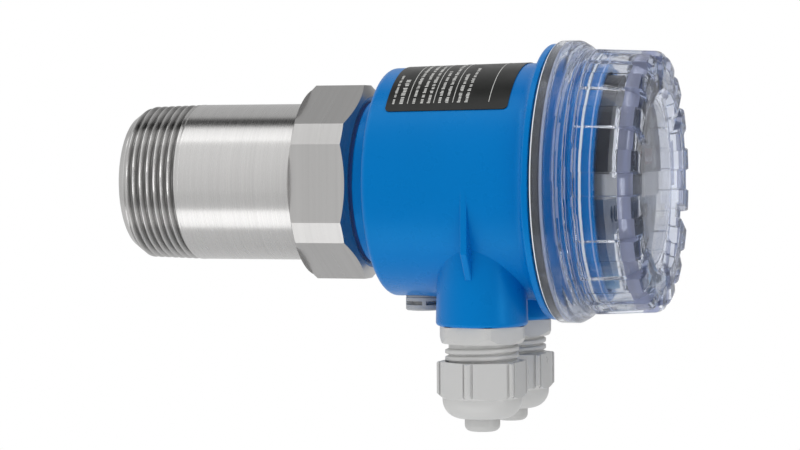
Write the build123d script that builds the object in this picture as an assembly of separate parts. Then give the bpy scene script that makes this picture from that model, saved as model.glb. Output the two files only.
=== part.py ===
from build123d import *
import math
import os

# Microwave barrier: threaded steel sensor, plastic housing, clear screw cover and two cable glands.
# Stations run along the sensor from the thread's tip, radii are about its axis, and all sizes are in mm.
# The glands point down, along -Z, and the cover faces +X.

# Process connection: R 1 1/2 thread, shank and hexagon
GAUGE_LENGTH = 12.7
GAUGE_RADIUS = 23.9
TIP_RADIUS = 20.7
LEAD_IN = 4.4
THREAD_LENGTH = 20.4
SHANK_RADIUS = 24.1
RUN_OUT = 0.5
HEX_START = 58.3
HEX_LENGTH = 18.0
HEX_END = HEX_START + HEX_LENGTH
HEX_ACROSS_FLATS = 55.0
HEX_ACROSS_CORNERS = 1.08 * HEX_ACROSS_FLATS
HEX_FRONT_RADIUS = HEX_ACROSS_CORNERS / 2 - 0.8
HEX_FRONT_SLOPE = 0.58
HEX_REAR_RADIUS = HEX_ACROSS_CORNERS / 2 - 3.4
HEX_REAR_SLOPE = 0.55
SPIGOT_RADIUS = 20.0
WINDOW_SEAT_RADIUS = 18.0
WINDOW_SEAT_DEPTH = 7.0
WINDOW_STEP = 1.8
HORN_SEAT_RADIUS = WINDOW_SEAT_RADIUS - WINDOW_STEP
HORN_SEAT_REACH = 3.7
HORN_SEAT_END = HEX_START + HORN_SEAT_REACH
MODULE_STEP = 3.2
MODULE_BORE_RADIUS = HORN_SEAT_RADIUS - MODULE_STEP

# Antenna behind the window
FIT = 0.1
WINDOW_EDGE = 0.6
WINDOW_CONE_TIP_RADIUS = 3.0
WINDOW_CONE_LENGTH = 7.0
RING_GROOVE_START = 3.0
RING_GROOVE_WIDTH = 2.4
RING_GROOVE_DEPTH = 2.0
HORN_EDGE = 2.7
HORN_MOUTH_RADIUS = HORN_SEAT_RADIUS - HORN_EDGE
WINDOW_CONE_GAP = 2.0
WINDOW_CONE_RADIUS = HORN_MOUTH_RADIUS - WINDOW_CONE_GAP
GUIDE_LENGTH = 26.0
HORN_FLARE_END = HORN_SEAT_END - GUIDE_LENGTH
GUIDE_RADIUS = 4.2
MODULE_PLUG_LENGTH = 2.6
MODULE_PLUG_RADIUS = 3.2

# Housing
NECK_GAP = 0.85
NECK_BORE_CLEARANCE = 0.3
NECK_WALL = 5.0
NECK_RADIUS = SPIGOT_RADIUS + NECK_BORE_CLEARANCE + NECK_WALL
NECK_RING_WIDTH = 3.2
COLLAR_RADIUS = 34.9
COLLAR_WALL = 2.6
CAVITY_RADIUS = COLLAR_RADIUS - COLLAR_WALL
CAVITY_TAPER = 0.9
CAVITY_BACK_RADIUS = CAVITY_RADIUS - CAVITY_TAPER
CAVITY_ROUNDING = 2.0
WALL = 3.2
BODY_WALL = 3.6
BODY_END_RADIUS = CAVITY_RADIUS + BODY_WALL
BODY_TAPER = 1.15
NECK_LENGTH = 6.4
BACK_STATION = HEX_END + NECK_LENGTH
BACK_RADIUS = BODY_END_RADIUS - BODY_TAPER
BACK_ROUNDING = 2.0
BODY_LENGTH = 50.5
FLANGE_BACK = BACK_STATION + BODY_LENGTH
FLANGE_THICKNESS = 2.2
FLANGE_FRONT = FLANGE_BACK + FLANGE_THICKNESS
FLANGE_OVERHANG = 5.6
FLANGE_RADIUS = BODY_END_RADIUS + FLANGE_OVERHANG
FLANGE_ROUNDING = 0.8
FLARE_RADIUS = 3.4
LAND_STEP = 1.4
LAND_RADIUS = COLLAR_RADIUS + LAND_STEP
LAND_LENGTH = 4.0
LAND_END = FLANGE_FRONT + LAND_LENGTH

# Pillars inside the housing, for the insert's screws
PILLAR_RADIUS = 3.3
PILLAR_INSET = 3.9
PILLAR_CIRCLE = CAVITY_RADIUS - PILLAR_INSET
PILLAR_ANGLES = (90, 210, 330)

# Lock nut that holds the sensor in the housing's neck, and the spigot that it is screwed on
LOCK_NUT_GAP = 0.1
LOCK_NUT_RADIUS = PILLAR_CIRCLE - PILLAR_RADIUS - LOCK_NUT_GAP
LOCK_NUT_LENGTH = 5.0
LOCK_NUT_SLOTS = 6
LOCK_NUT_SLOT_WIDTH = 4.0
LOCK_NUT_SLOT_DEPTH = 0.44 * (LOCK_NUT_RADIUS - SPIGOT_RADIUS)
SPIGOT_PROUD = 1.1
SPIGOT_END = BACK_STATION + WALL + LOCK_NUT_LENGTH + SPIGOT_PROUD

# Gland bosses and their gussets
GLAND_SETBACK = 18.25
GLAND_STATION = FLANGE_BACK - GLAND_SETBACK
GLAND_SPREAD = 16.3
BOSS_RADIUS = 13.8
BOSS_DRAFT = 0.7
BOSS_DROP = 6.6
BOSS_BOTTOM = -(BODY_END_RADIUS + BOSS_DROP)
BOSS_ROUNDING = 1.2
BOSS_TOP = -15.0
GLAND_BORE_RADIUS = 10.1
GLAND_BORE_DEPTH = 20.5
GLAND_BORE_TOP = BOSS_BOTTOM + GLAND_BORE_DEPTH
PILLAR_REACH = 3.05
PILLAR_END = GLAND_STATION + PILLAR_REACH
GUSSET_WIDTH = 2.1
GUSSET_SETBACK = 0.35
GUSSET_STATION = GLAND_STATION - GUSSET_SETBACK
GUSSET_TOP = 0.0
GUSSET_KNEE_RISE = 22.0
GUSSET_KNEE = BOSS_BOTTOM + GUSSET_KNEE_RISE
GUSSET_FOOT_RISE = 14.2
GUSSET_BOTTOM = BOSS_BOTTOM + GUSSET_FOOT_RISE
GUSSET_ROUNDING = 0.6

# Vent plug under the housing
VENT_INSET = 9.3
VENT_STATION = BACK_STATION + VENT_INSET
VENT_RADIUS = 5.5
VENT_SEAT_DEPTH = 1.6
VENT_SEAT = VENT_SEAT_DEPTH - BODY_END_RADIUS
VENT_HEIGHT = 4.9
VENT_BOTTOM = VENT_SEAT - VENT_HEIGHT
VENT_SPOT_RADIUS = 6.5
VENT_HOLE_RADIUS = 3.2
VENT_STEM_LENGTH = 3.9
VENT_STEM_TOP = VENT_SEAT + VENT_STEM_LENGTH
VENT_BORE_RADIUS = 1.6
VENT_SLOT_DROP = 2.0
VENT_SLOT_TOP = VENT_SEAT - VENT_SLOT_DROP
VENT_SLOT_HEIGHT = 1.2
VENT_SLOT_BOTTOM = VENT_SLOT_TOP - VENT_SLOT_HEIGHT
VENT_SLOT_DEPTH = 2.2
VENT_POST_WIDTH = 1.2
VENT_POST_ANGLE = -72.7
VENT_RING_HEIGHT = 0.8

# Nameplate wrapped over the top of the housing
LABEL_BACK_MARGIN = 5.8
LABEL_START = BACK_STATION + LABEL_BACK_MARGIN
LABEL_FRONT_MARGIN = 7.0
LABEL_END = FLANGE_BACK - LABEL_FRONT_MARGIN
LABEL_EDGE_ANGLE = 37.5
LABEL_THICKNESS = 0.25
LABEL_CORNER = 1.5
LABEL_BOND = 0.02

# Screw cover
COVER_LENGTH = 31.6
COVER_FRONT = FLANGE_FRONT + COVER_LENGTH
COVER_GAP = 0.8
COVER_BORE_GAP = 1.9
COVER_BORE_RADIUS = COLLAR_RADIUS + COVER_BORE_GAP
COVER_BORE_SETBACK = 14.0
COVER_BORE_END = COVER_FRONT - COVER_BORE_SETBACK
COLLAR_LEAD = 0.5
COLLAR_END = COVER_BORE_END + COLLAR_LEAD
COVER_INNER_STEP = 1.6
COVER_INNER_RADIUS = COVER_BORE_RADIUS - COVER_INNER_STEP
POCKET_DEPTH = 3.9
POCKET_RADIUS = COVER_BORE_RADIUS + POCKET_DEPTH
POCKET_LENGTH = 4.2
POCKET_END = FLANGE_FRONT + POCKET_LENGTH
RIM_WALL = 1.7
RIM_RADIUS = POCKET_RADIUS + RIM_WALL
RIM_LENGTH = 9.7
RIM_END = FLANGE_FRONT + RIM_LENGTH
SHOULDER_LENGTH = 3.2
SHOULDER_ROUNDING = 2.5
RIM_SHOULDER = (RIM_END - SHOULDER_LENGTH, SHOULDER_ROUNDING)
LOWER_SHOULDER_LENGTH = 1.1
LOWER_SHOULDER_DROP = 1.3
LOWER_SHOULDER_ROUNDING = 1.5
RIM_LOWER_SHOULDER = (
    RIM_END - LOWER_SHOULDER_LENGTH, RIM_RADIUS - LOWER_SHOULDER_DROP, LOWER_SHOULDER_ROUNDING,
)
RIM_BACK_ROUNDING = 0.6
SKIRT_STEP = 2.65
SKIRT_TAPER = 0.9
SKIRT_BACK_RADIUS = RIM_RADIUS - SKIRT_STEP
SKIRT_FRONT_RADIUS = SKIRT_BACK_RADIUS - SKIRT_TAPER
FRONT_ROUNDING = 2.6
FACE_EDGE = 11.05
FACE_RADIUS = SKIRT_FRONT_RADIUS - FACE_EDGE
PANE_DEPTH = 3.5
PANE_STATION = COVER_FRONT - PANE_DEPTH
PANE_SLOPE = 2.8
PANE_RADIUS = FACE_RADIUS - PANE_SLOPE
PANE_THICKNESS = 2.7
COVER_INNER_STATION = PANE_STATION - PANE_THICKNESS
COVER_INNER_ROUNDING = 1.6
LUG_COUNT = 18
LUG_WIDTH_ANGLE = 10
LUG_GAP = 2.7
LUG_START = RIM_END + LUG_GAP
LUG_HEIGHT = 0.95
RECESS_SHOULDER = 3.4
RECESS_ROUND = 3.6
NOTCH_EVERY = 3
NOTCH_PHASE = -20
NOTCH_ROUND = 3.2
NOTCH_DEPTH = 1.8
NOTCH_FLOOR = COVER_FRONT - NOTCH_DEPTH
PAD_ANGLE = 34
PAD_THICKNESS = 1.3
PAD_WIDTH = 3.4

# Cover seal
SEAL_INNER_GAP = 0.2
SEAL_OUTER_GAP = 0.5
SEAL_END_GAP = 0.5
SEAL_ROUNDING = 0.9

# Electronics inside the cover
INSERT_GAP = 1.0
PLATE_THICKNESS = 2.5
PLATE_BOTTOM = -(PILLAR_CIRCLE / 2 + PILLAR_RADIUS)
BRIDGE_TOP = 2.8
BRIDGE_BOTTOM = -4.4
INSERT_FRONT_GAP = 3.5
MODULE_FRONT = COVER_INNER_STATION - INSERT_FRONT_GAP
BRIDGE_SETBACK = 0.8
BRIDGE_FRONT = MODULE_FRONT - BRIDGE_SETBACK
INSERT_WALL = 1.8
GUARD_BACK_GAP = 8.0
GUARD_BACK = PILLAR_END + GUARD_BACK_GAP
GUARD_SETBACK = 1.4
GUARD_FRONT = MODULE_FRONT - GUARD_SETBACK
GUARD_WALL = 1.6
GUARD_CUT_WIDTH = 24.0
TERMINAL_COUNT = 6
TERMINAL_PITCH = 6.35
TERMINAL_ENDS = 3.9
TERMINAL_WIDTH = TERMINAL_COUNT * TERMINAL_PITCH + TERMINAL_ENDS
TERMINAL_CORNER_GAP = 1.38
TERMINAL_REACH = CAVITY_RADIUS - INSERT_GAP - GUARD_WALL - TERMINAL_CORNER_GAP
TERMINAL_BOTTOM = -math.sqrt(TERMINAL_REACH**2 - (TERMINAL_WIDTH / 2) ** 2)
TERMINAL_SETBACK = 6.0
TERMINAL_FRONT = GUARD_FRONT - TERMINAL_SETBACK
TERMINAL_LENGTH = 14.0
TERMINAL_BACK = TERMINAL_FRONT - TERMINAL_LENGTH
TERMINAL_SCREW_RADIUS = 2.0
TERMINAL_SCREW_DROP = 4.6
TERMINAL_SCREW_Z = BRIDGE_BOTTOM - TERMINAL_SCREW_DROP
TERMINAL_SCREW_WELL = 4.0
TERMINAL_SCREW_SUNK = 0.4
TERMINAL_ENTRY = 4.2
TERMINAL_ENTRY_DEPTH = 5.0
TERMINAL_ENTRY_SETBACK = 5.0
ACCESS_HOLE_RADIUS = 2.5
SCREW_SLOT_WIDTH = 0.6
SCREW_SLOT_DEPTH = 0.6
BOARD_THICKNESS = 1.6
SIGNAL_BOARD_SETBACK = 9.4
SIGNAL_BOARD_BACK = MODULE_FRONT - SIGNAL_BOARD_SETBACK
POST_RADIUS = 2.2
POST_INSET = 9.3
POST_SIDE = CAVITY_RADIUS - INSERT_GAP - POST_INSET
POST_Z = 10.0
POWER_BOARD_INSET = 7.4
POWER_BOARD_RADIUS = CAVITY_BACK_RADIUS - POWER_BOARD_INSET
TRANSFORMER_SIZE = (8.0, 14.0, 12.0)
TRANSFORMER_PLACE = (-5.0, 8.0)
CAPACITOR_RADIUS = 4.0
CAPACITOR_LENGTH = 10.0
CAPACITOR_PLACES = ((10.0, 8.0), (10.0, -4.0))

# Keys, switches and lamps on the insert's front
BUTTON_Z = 13.5
BUTTON_SPACING = 11.0
BUTTON_COUNT = 3
BUTTON_RADIUS = 2.5
BUTTON_STEM_RADIUS = 1.4
BUTTON_PROUD = 0.7
BUTTON_HEAD = 1.6
BUTTON_TRAVEL = 0.5
BUTTON_GAP = 0.25
LAMP_Z = 22.5
LAMP_COUNT = 5
LAMP_SPACING = 3.6
LAMP_RADIUS = 1.2
DIP_Z = 7.6
DIP_COUNT = 4
DIP_PITCH = 2.54
DIP_HEIGHT = 5.0
DIP_RECESS = 0.6
DIP_SLOT_WIDTH = 1.5
DIP_SLOT_HEIGHT = 3.2
DIP_SLOT_DEPTH = 1.4
DIP_SLIDER_HEIGHT = 1.5
DIP_GAP = 0.12
INSERT_SCREW_HEAD_RADIUS = 2.6
INSERT_SCREW_HEAD = 1.8
INSERT_SCREW_RADIUS = 1.4
INSERT_SCREW_LENGTH = 9.0

# Cable glands, M20, turned about their own vertical axes
GLAND_HEX = 24.0
GLAND_HEX_TURNED = 13.4
GLAND_HEX_HEIGHT = 5.1
GLAND_HEX_BOTTOM = BOSS_BOTTOM - GLAND_HEX_HEIGHT
GLAND_HEX_CHAMFER = 1.4
GLAND_HEX_CHAMFER_RISE = 1.6
GLAND_SPIGOT_RADIUS = 9.9
GLAND_SPIGOT_LENGTH = 9.5
GLAND_SPIGOT_TOP = BOSS_BOTTOM + GLAND_SPIGOT_LENGTH
GLAND_SEAT_GAP = 0.05
GLAND_RING_RADIUS = 12.0
GLAND_RING_HEIGHT = 1.2
GLAND_TUBE_RADIUS = 10.0
GLAND_TUBE_LENGTH = 19.0
GLAND_TUBE_BOTTOM = BOSS_BOTTOM - GLAND_TUBE_LENGTH
GLAND_PASSAGE_RADIUS = 7.2
GLAND_SOCKET_RADIUS = 8.7
GLAND_SOCKET_DROP = 11.5
GLAND_SOCKET_TOP = BOSS_BOTTOM - GLAND_SOCKET_DROP
NUT_DROP = 10.55
NUT_TOP = BOSS_BOTTOM - NUT_DROP
NUT_HEIGHT = 10.95
NUT_BOTTOM = NUT_TOP - NUT_HEIGHT
NUT_TURNED_RADIUS = 13.75
NUT_CHAMFER_RISE = 2.1
NUT_BORE_RADIUS = 11.1
NUT_BORE_RISE = 1.8
NUT_BORE_BOTTOM = NUT_BOTTOM + NUT_BORE_RISE
NUT_RIB_HALF = 1.05
NUT_GROOVE_WIDTH = 0.8
NUT_GROOVE_DEPTH = 0.65
DOME_RADIUS = 11.9
DOME_HEIGHT = 6.1
DOME_BOTTOM = NUT_BOTTOM - DOME_HEIGHT
DOME_ROUNDING = 5.6
NUT_CONE_DROP = 3.0
NUT_CONE_BOTTOM = NUT_BOTTOM - NUT_CONE_DROP
NUT_CONE_RADIUS = 7.0
NUT_HOLE_RADIUS = 5.7
SLEEVE_DROP = 0.2
SLEEVE_BOTTOM = NUT_BOTTOM - SLEEVE_DROP
SLEEVE_TAPER = 2.0
PLUG_RADIUS = 5.3
PLUG_INSET = 2.95
PLUG_TOP = NUT_TOP - PLUG_INSET
PLUG_PROUD = 3.9
PLUG_BOTTOM = DOME_BOTTOM - PLUG_PROUD
PLUG_ROUNDING = 1.9

# How far each gland's hexagons are turned about the vertical, near one and far one
GLAND_TURNS = {-1: (-7.0, -4.0), 1: (-9.0, -6.0)}


def turned(*corners):
    """Solid turned about the sensor's axis; a corner is a station, a radius and a rounding."""
    points = [(station, radius) for station, radius, _ in corners]
    roundings = [rounding for _, _, rounding in corners]
    outline = FilletPolyline(*points, radius=roundings, close=True)
    return revolve(Plane.XZ * make_face(outline), Axis.X, 360)


def turned_down(x, y, *corners):
    """Solid turned about a vertical axis at x, y; a corner is a radius, a height and a rounding."""
    points = [(radius, height) for radius, height, _ in corners]
    roundings = [rounding for _, _, rounding in corners]
    outline = FilletPolyline(*points, radius=roundings, close=True)
    return Pos(x, y, 0) * revolve(Plane.XZ * make_face(outline), Axis.Z, 360)


def rod(start, end, radius, y=0.0, z=0.0):
    """Plain round bar along the sensor's axis, or beside it."""
    disc = Plane.YZ.offset(start) * Pos(y, z) * Circle(radius)
    return extrude(disc, end - start)


def block(start, end, y_low, y_high, z_low, z_high):
    """Box between two stations, two sides and two heights."""
    size = (end - start, y_high - y_low, z_high - z_low)
    middle = ((start + end) / 2, (y_low + y_high) / 2, (z_low + z_high) / 2)
    return Pos(*middle) * Box(*size)


def hexagon(across_flats, angle):
    """Flat hexagon with a corner at the given angle."""
    return RegularPolygon(across_flats / 2, 6, major_radius=False, rotation=angle)


def upright_bar(x, y, radius, low, high):
    """Plain round bar along Z."""
    return extrude(Plane.XY.offset(low) * Pos(x, y) * Circle(radius), high - low)


def body_radius(station):
    """Outer radius of the housing's drafted wall at a station."""
    share = (station - BACK_STATION) / (FLANGE_BACK - BACK_STATION)
    return BACK_RADIUS + share * (BODY_END_RADIUS - BACK_RADIUS)


def process_connection():
    tube = turned(
        (0, 0, 0),
        (0, TIP_RADIUS, 0),
        (LEAD_IN, GAUGE_RADIUS, 0),
        (THREAD_LENGTH, GAUGE_RADIUS, 0),
        (THREAD_LENGTH + RUN_OUT, SHANK_RADIUS, 0),
        (HEX_END, SHANK_RADIUS, 0),
        (HEX_END, SPIGOT_RADIUS, 0),
        (SPIGOT_END, SPIGOT_RADIUS, 0),
        (SPIGOT_END, 0, 0),
    )
    section = hexagon(HEX_ACROSS_FLATS, 30) & hexagon(HEX_ACROSS_CORNERS, 0)
    prism = extrude(Plane.YZ.offset(HEX_START) * section, HEX_END - HEX_START)
    corner = HEX_ACROSS_CORNERS / 2 + 2
    front_run = (corner - HEX_FRONT_RADIUS) * HEX_FRONT_SLOPE
    rear_run = (corner - HEX_REAR_RADIUS) * HEX_REAR_SLOPE
    chamfers = turned(
        (HEX_START, 0, 0),
        (HEX_START, HEX_FRONT_RADIUS, 0),
        (HEX_START + front_run, corner, 0),
        (HEX_END - rear_run, corner, 0),
        (HEX_END, HEX_REAR_RADIUS, 0),
        (HEX_END, 0, 0),
    )
    bore = turned(
        (-1, 0, 0),
        (-1, WINDOW_SEAT_RADIUS, 0),
        (WINDOW_SEAT_DEPTH, WINDOW_SEAT_RADIUS, 0),
        (WINDOW_SEAT_DEPTH, HORN_SEAT_RADIUS, 0),
        (HORN_SEAT_END, HORN_SEAT_RADIUS, 0),
        (HORN_SEAT_END, MODULE_BORE_RADIUS, 0),
        (SPIGOT_END + 1, MODULE_BORE_RADIUS, 0),
        (SPIGOT_END + 1, 0, 0),
    )
    return tube + (prism & chamfers) - bore


def antenna_window():
    edge = WINDOW_SEAT_RADIUS - FIT
    groove_bottom = edge - RING_GROOVE_DEPTH
    groove_end = RING_GROOVE_START + RING_GROOVE_WIDTH
    return turned(
        (0, 0, 0),
        (0, edge, WINDOW_EDGE),
        (RING_GROOVE_START, edge, 0),
        (RING_GROOVE_START, groove_bottom, 0),
        (groove_end, groove_bottom, 0),
        (groove_end, edge, 0),
        (WINDOW_SEAT_DEPTH, edge, 0),
        (WINDOW_SEAT_DEPTH, WINDOW_CONE_RADIUS, 0),
        (WINDOW_SEAT_DEPTH + WINDOW_CONE_LENGTH, WINDOW_CONE_TIP_RADIUS, 0),
        (WINDOW_SEAT_DEPTH + WINDOW_CONE_LENGTH, 0, 0),
    )


def window_seal():
    inner = WINDOW_SEAT_RADIUS - FIT - RING_GROOVE_DEPTH
    start = RING_GROOVE_START + FIT
    end = RING_GROOVE_START + RING_GROOVE_WIDTH - FIT
    return turned(
        (start, inner, 0.4),
        (start, WINDOW_SEAT_RADIUS, 0.9),
        (end, WINDOW_SEAT_RADIUS, 0.9),
        (end, inner, 0.4),
    )


def horn_antenna():
    outer = HORN_SEAT_RADIUS - FIT
    return turned(
        (WINDOW_SEAT_DEPTH, HORN_MOUTH_RADIUS, 0),
        (WINDOW_SEAT_DEPTH, outer, 0),
        (HORN_SEAT_END, outer, 0),
        (HORN_SEAT_END, GUIDE_RADIUS, 0),
        (HORN_FLARE_END, GUIDE_RADIUS, 0),
    )


def microwave_module():
    can = rod(HORN_SEAT_END, SPIGOT_END, MODULE_BORE_RADIUS - FIT)
    can = chamfer(can.edges().filter_by(GeomType.CIRCLE), 0.5)
    plug = rod(SPIGOT_END, SPIGOT_END + MODULE_PLUG_LENGTH, MODULE_PLUG_RADIUS)
    return can + plug


def neck_seal():
    outer = NECK_RADIUS - BOSS_ROUNDING / 2
    return turned(
        (HEX_END, outer - NECK_RING_WIDTH, 0),
        (HEX_END, outer, 0),
        (HEX_END + NECK_GAP, outer, 0),
        (HEX_END + NECK_GAP, outer - NECK_RING_WIDTH, 0),
    )


def housing_shell():
    front = HEX_END + NECK_GAP
    slope = (BODY_END_RADIUS - BACK_RADIUS) / (FLANGE_BACK - BACK_STATION)
    outside = turned(
        (front, 0, 0),
        (front, NECK_RADIUS, 0.5),
        (BACK_STATION, NECK_RADIUS, 1.0),
        (BACK_STATION, BACK_RADIUS, BACK_ROUNDING),
        (FLANGE_BACK, BODY_END_RADIUS, FLARE_RADIUS),
        (FLANGE_BACK + slope, FLANGE_RADIUS, FLANGE_ROUNDING),
        (FLANGE_FRONT, FLANGE_RADIUS, 0.3),
        (FLANGE_FRONT, LAND_RADIUS, 0),
        (LAND_END, LAND_RADIUS, 0),
        (LAND_END + (LAND_RADIUS - COLLAR_RADIUS), COLLAR_RADIUS, 0),
        (COLLAR_END, COLLAR_RADIUS, 0.6),
        (COLLAR_END, 0, 0),
    )
    return outside


def gland_boss(y):
    return turned_down(
        GLAND_STATION,
        y,
        (0, BOSS_TOP, 0),
        (BOSS_RADIUS - BOSS_DRAFT, BOSS_TOP, 0),
        (BOSS_RADIUS, BOSS_BOTTOM, BOSS_ROUNDING),
        (0, BOSS_BOTTOM, 0),
    )


def gusset(side):
    """Blade that stiffens a boss, from the housing's widest line down to the boss's side."""
    skin = body_radius(GUSSET_STATION)
    top_y = math.sqrt(skin**2 - GUSSET_TOP**2)
    foot_y = GLAND_SPREAD + BOSS_RADIUS
    root_y = GLAND_SPREAD + GLAND_BORE_RADIUS + 1
    corners = [
        (side * root_y, GUSSET_TOP),
        (side * top_y, GUSSET_TOP),
        (side * top_y, GUSSET_KNEE),
        (side * foot_y, GUSSET_BOTTOM),
        (side * root_y, GUSSET_BOTTOM),
    ]
    outline = Plane.YZ.offset(GUSSET_STATION - GUSSET_WIDTH / 2) * Polygon(*corners, align=None)
    blade = extrude(outline, GUSSET_WIDTH)
    limit = (root_y + top_y) / 2 + 0.3
    rims = blade.edges().filter_by(Axis.X, reverse=True)
    rims = rims.filter_by(lambda edge: side * edge.center().Y > limit)
    return fillet(rims, GUSSET_ROUNDING)


def pillar(angle):
    y = PILLAR_CIRCLE * math.cos(math.radians(angle))
    z = PILLAR_CIRCLE * math.sin(math.radians(angle))
    return rod(BACK_STATION + WALL - 1, PILLAR_END, PILLAR_RADIUS, y, z)


def pillar_places():
    spots = []
    for angle in PILLAR_ANGLES:
        y = PILLAR_CIRCLE * math.cos(math.radians(angle))
        z = PILLAR_CIRCLE * math.sin(math.radians(angle))
        spots.append((y, z))
    return spots


def housing():
    shell = housing_shell()
    for side in (-1, 1):
        shell += gland_boss(side * GLAND_SPREAD)
        shell += gusset(side)
    floor = BACK_STATION + WALL
    shell -= turned(
        (floor, 0, 0),
        (floor, CAVITY_BACK_RADIUS, CAVITY_ROUNDING),
        (FLANGE_BACK, CAVITY_RADIUS, 0),
        (COLLAR_END + 1, CAVITY_RADIUS, 0),
        (COLLAR_END + 1, 0, 0),
    )
    for angle in PILLAR_ANGLES:
        shell += pillar(angle)
    for y, z in pillar_places():
        shell -= rod(PILLAR_END - INSERT_SCREW_LENGTH, PILLAR_END, INSERT_SCREW_RADIUS, y, z)
    shell -= rod(HEX_END, floor + 1, SPIGOT_RADIUS + NECK_BORE_CLEARANCE)
    for side in (-1, 1):
        shell -= upright_bar(
            GLAND_STATION, side * GLAND_SPREAD, GLAND_BORE_RADIUS, BOSS_BOTTOM - 1, GLAND_BORE_TOP
        )
    shell -= upright_bar(VENT_STATION, 0, VENT_SPOT_RADIUS, VENT_BOTTOM, VENT_SEAT)
    shell -= upright_bar(VENT_STATION, 0, VENT_HOLE_RADIUS, VENT_BOTTOM, VENT_STEM_TOP + 2)
    return shell


def lock_nut():
    start = BACK_STATION + WALL
    end = start + LOCK_NUT_LENGTH
    ring = turned(
        (start, SPIGOT_RADIUS, 0),
        (start, LOCK_NUT_RADIUS, 0),
        (end, LOCK_NUT_RADIUS, 0.6),
        (end, SPIGOT_RADIUS, 0),
    )
    for index in range(LOCK_NUT_SLOTS):
        slot = block(
            start,
            end,
            LOCK_NUT_RADIUS - LOCK_NUT_SLOT_DEPTH,
            LOCK_NUT_RADIUS + 1,
            -LOCK_NUT_SLOT_WIDTH / 2,
            LOCK_NUT_SLOT_WIDTH / 2,
        )
        ring -= Rot(360 * (index + 0.5) / LOCK_NUT_SLOTS, 0, 0) * slot
    return ring


def nameplate():
    low = LABEL_BOND
    high = LABEL_BOND + LABEL_THICKNESS
    strip = Polygon(
        (LABEL_START, body_radius(LABEL_START) + low),
        (LABEL_END, body_radius(LABEL_END) + low),
        (LABEL_END, body_radius(LABEL_END) + high),
        (LABEL_START, body_radius(LABEL_START) + high),
        align=None,
    )
    half = 90 - LABEL_EDGE_ANGLE
    sheet = Rot(-half, 0, 0) * revolve(Plane.XZ * strip, Axis.X, 2 * half)
    corners = sheet.edges().filter_by(lambda edge: edge.length < 2 * LABEL_THICKNESS)
    return fillet(corners, LABEL_CORNER)


def vent_plug():
    head = turned_down(
        VENT_STATION,
        0,
        (0, VENT_SEAT - VENT_RING_HEIGHT, 0),
        (VENT_RADIUS, VENT_SEAT - VENT_RING_HEIGHT, 0.3),
        (VENT_RADIUS, VENT_BOTTOM, 0.6),
        (0, VENT_BOTTOM, 0),
    )
    core = VENT_RADIUS - VENT_SLOT_DEPTH
    groove = turned_down(
        VENT_STATION,
        0,
        (core, VENT_SLOT_TOP, 0),
        (VENT_RADIUS + 1, VENT_SLOT_TOP, 0),
        (VENT_RADIUS + 1, VENT_SLOT_BOTTOM, 0),
        (core, VENT_SLOT_BOTTOM, 0),
    )
    for quarter in range(4):
        post = Pos(VENT_STATION, 0, 0) * Rot(0, 0, VENT_POST_ANGLE + 90 * quarter) * block(
            0, VENT_RADIUS + 2, -VENT_POST_WIDTH / 2, VENT_POST_WIDTH / 2, VENT_BOTTOM, VENT_SEAT
        )
        groove -= post
    stem = upright_bar(VENT_STATION, 0, VENT_HOLE_RADIUS - FIT, VENT_SEAT - VENT_RING_HEIGHT, VENT_STEM_TOP)
    bore = upright_bar(VENT_STATION, 0, VENT_BORE_RADIUS, VENT_SLOT_TOP, VENT_STEM_TOP + 1)
    return head + stem - groove - bore


def vent_seal():
    return turned_down(
        VENT_STATION,
        0,
        (VENT_HOLE_RADIUS, VENT_SEAT, 0),
        (VENT_RADIUS, VENT_SEAT, 0.3),
        (VENT_RADIUS, VENT_SEAT - VENT_RING_HEIGHT, 0.3),
        (VENT_HOLE_RADIUS, VENT_SEAT - VENT_RING_HEIGHT, 0),
    )


def cover_blank():
    back = FLANGE_FRONT + COVER_GAP
    return turned(
        (back, POCKET_RADIUS, 0),
        (back, RIM_RADIUS, RIM_BACK_ROUNDING),
        (RIM_SHOULDER[0], RIM_RADIUS, RIM_SHOULDER[1]),
        RIM_LOWER_SHOULDER,
        (RIM_END, SKIRT_BACK_RADIUS, 0),
        (COVER_FRONT, SKIRT_FRONT_RADIUS, FRONT_ROUNDING),
        (COVER_FRONT, FACE_RADIUS, 0.4),
        (PANE_STATION, PANE_RADIUS, 0.4),
        (PANE_STATION, 0, 0),
        (COVER_INNER_STATION, 0, 0),
        (COVER_INNER_STATION, COVER_INNER_RADIUS, COVER_INNER_ROUNDING),
        (COVER_BORE_END, COVER_BORE_RADIUS, 0),
        (POCKET_END, COVER_BORE_RADIUS, 0),
        (POCKET_END, POCKET_RADIUS, 0.8),
    )


def recess_cutter(angle, deep):
    """Wedge that leaves the lower, rounder wall between two grip lugs."""
    back = SKIRT_BACK_RADIUS - LUG_HEIGHT
    front = SKIRT_FRONT_RADIUS - LUG_HEIGHT
    if deep:
        edge_station = NOTCH_FLOOR
        edge_radius = FACE_RADIUS - PANE_SLOPE
        shoulder = NOTCH_ROUND
    else:
        edge_station = COVER_FRONT
        edge_radius = FACE_RADIUS + RECESS_SHOULDER
        shoulder = RECESS_ROUND
    outer = RIM_RADIUS + 2
    beyond = COVER_FRONT + 2
    points = [
        (LUG_START, outer),
        (LUG_START, back),
        (edge_station, front),
        (edge_station, edge_radius),
        (beyond, edge_radius),
        (beyond, outer),
    ]
    outline = FilletPolyline(*points, radius=[0, 0, shoulder, 0, 0, 0], close=True)
    wedge = revolve(Plane.XZ * make_face(outline), Axis.X, LUG_WIDTH_ANGLE)
    middle = wedge.bounding_box().center()
    own_angle = math.degrees(math.atan2(middle.Z, middle.Y))
    return Rot(angle - own_angle, 0, 0) * wedge


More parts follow.
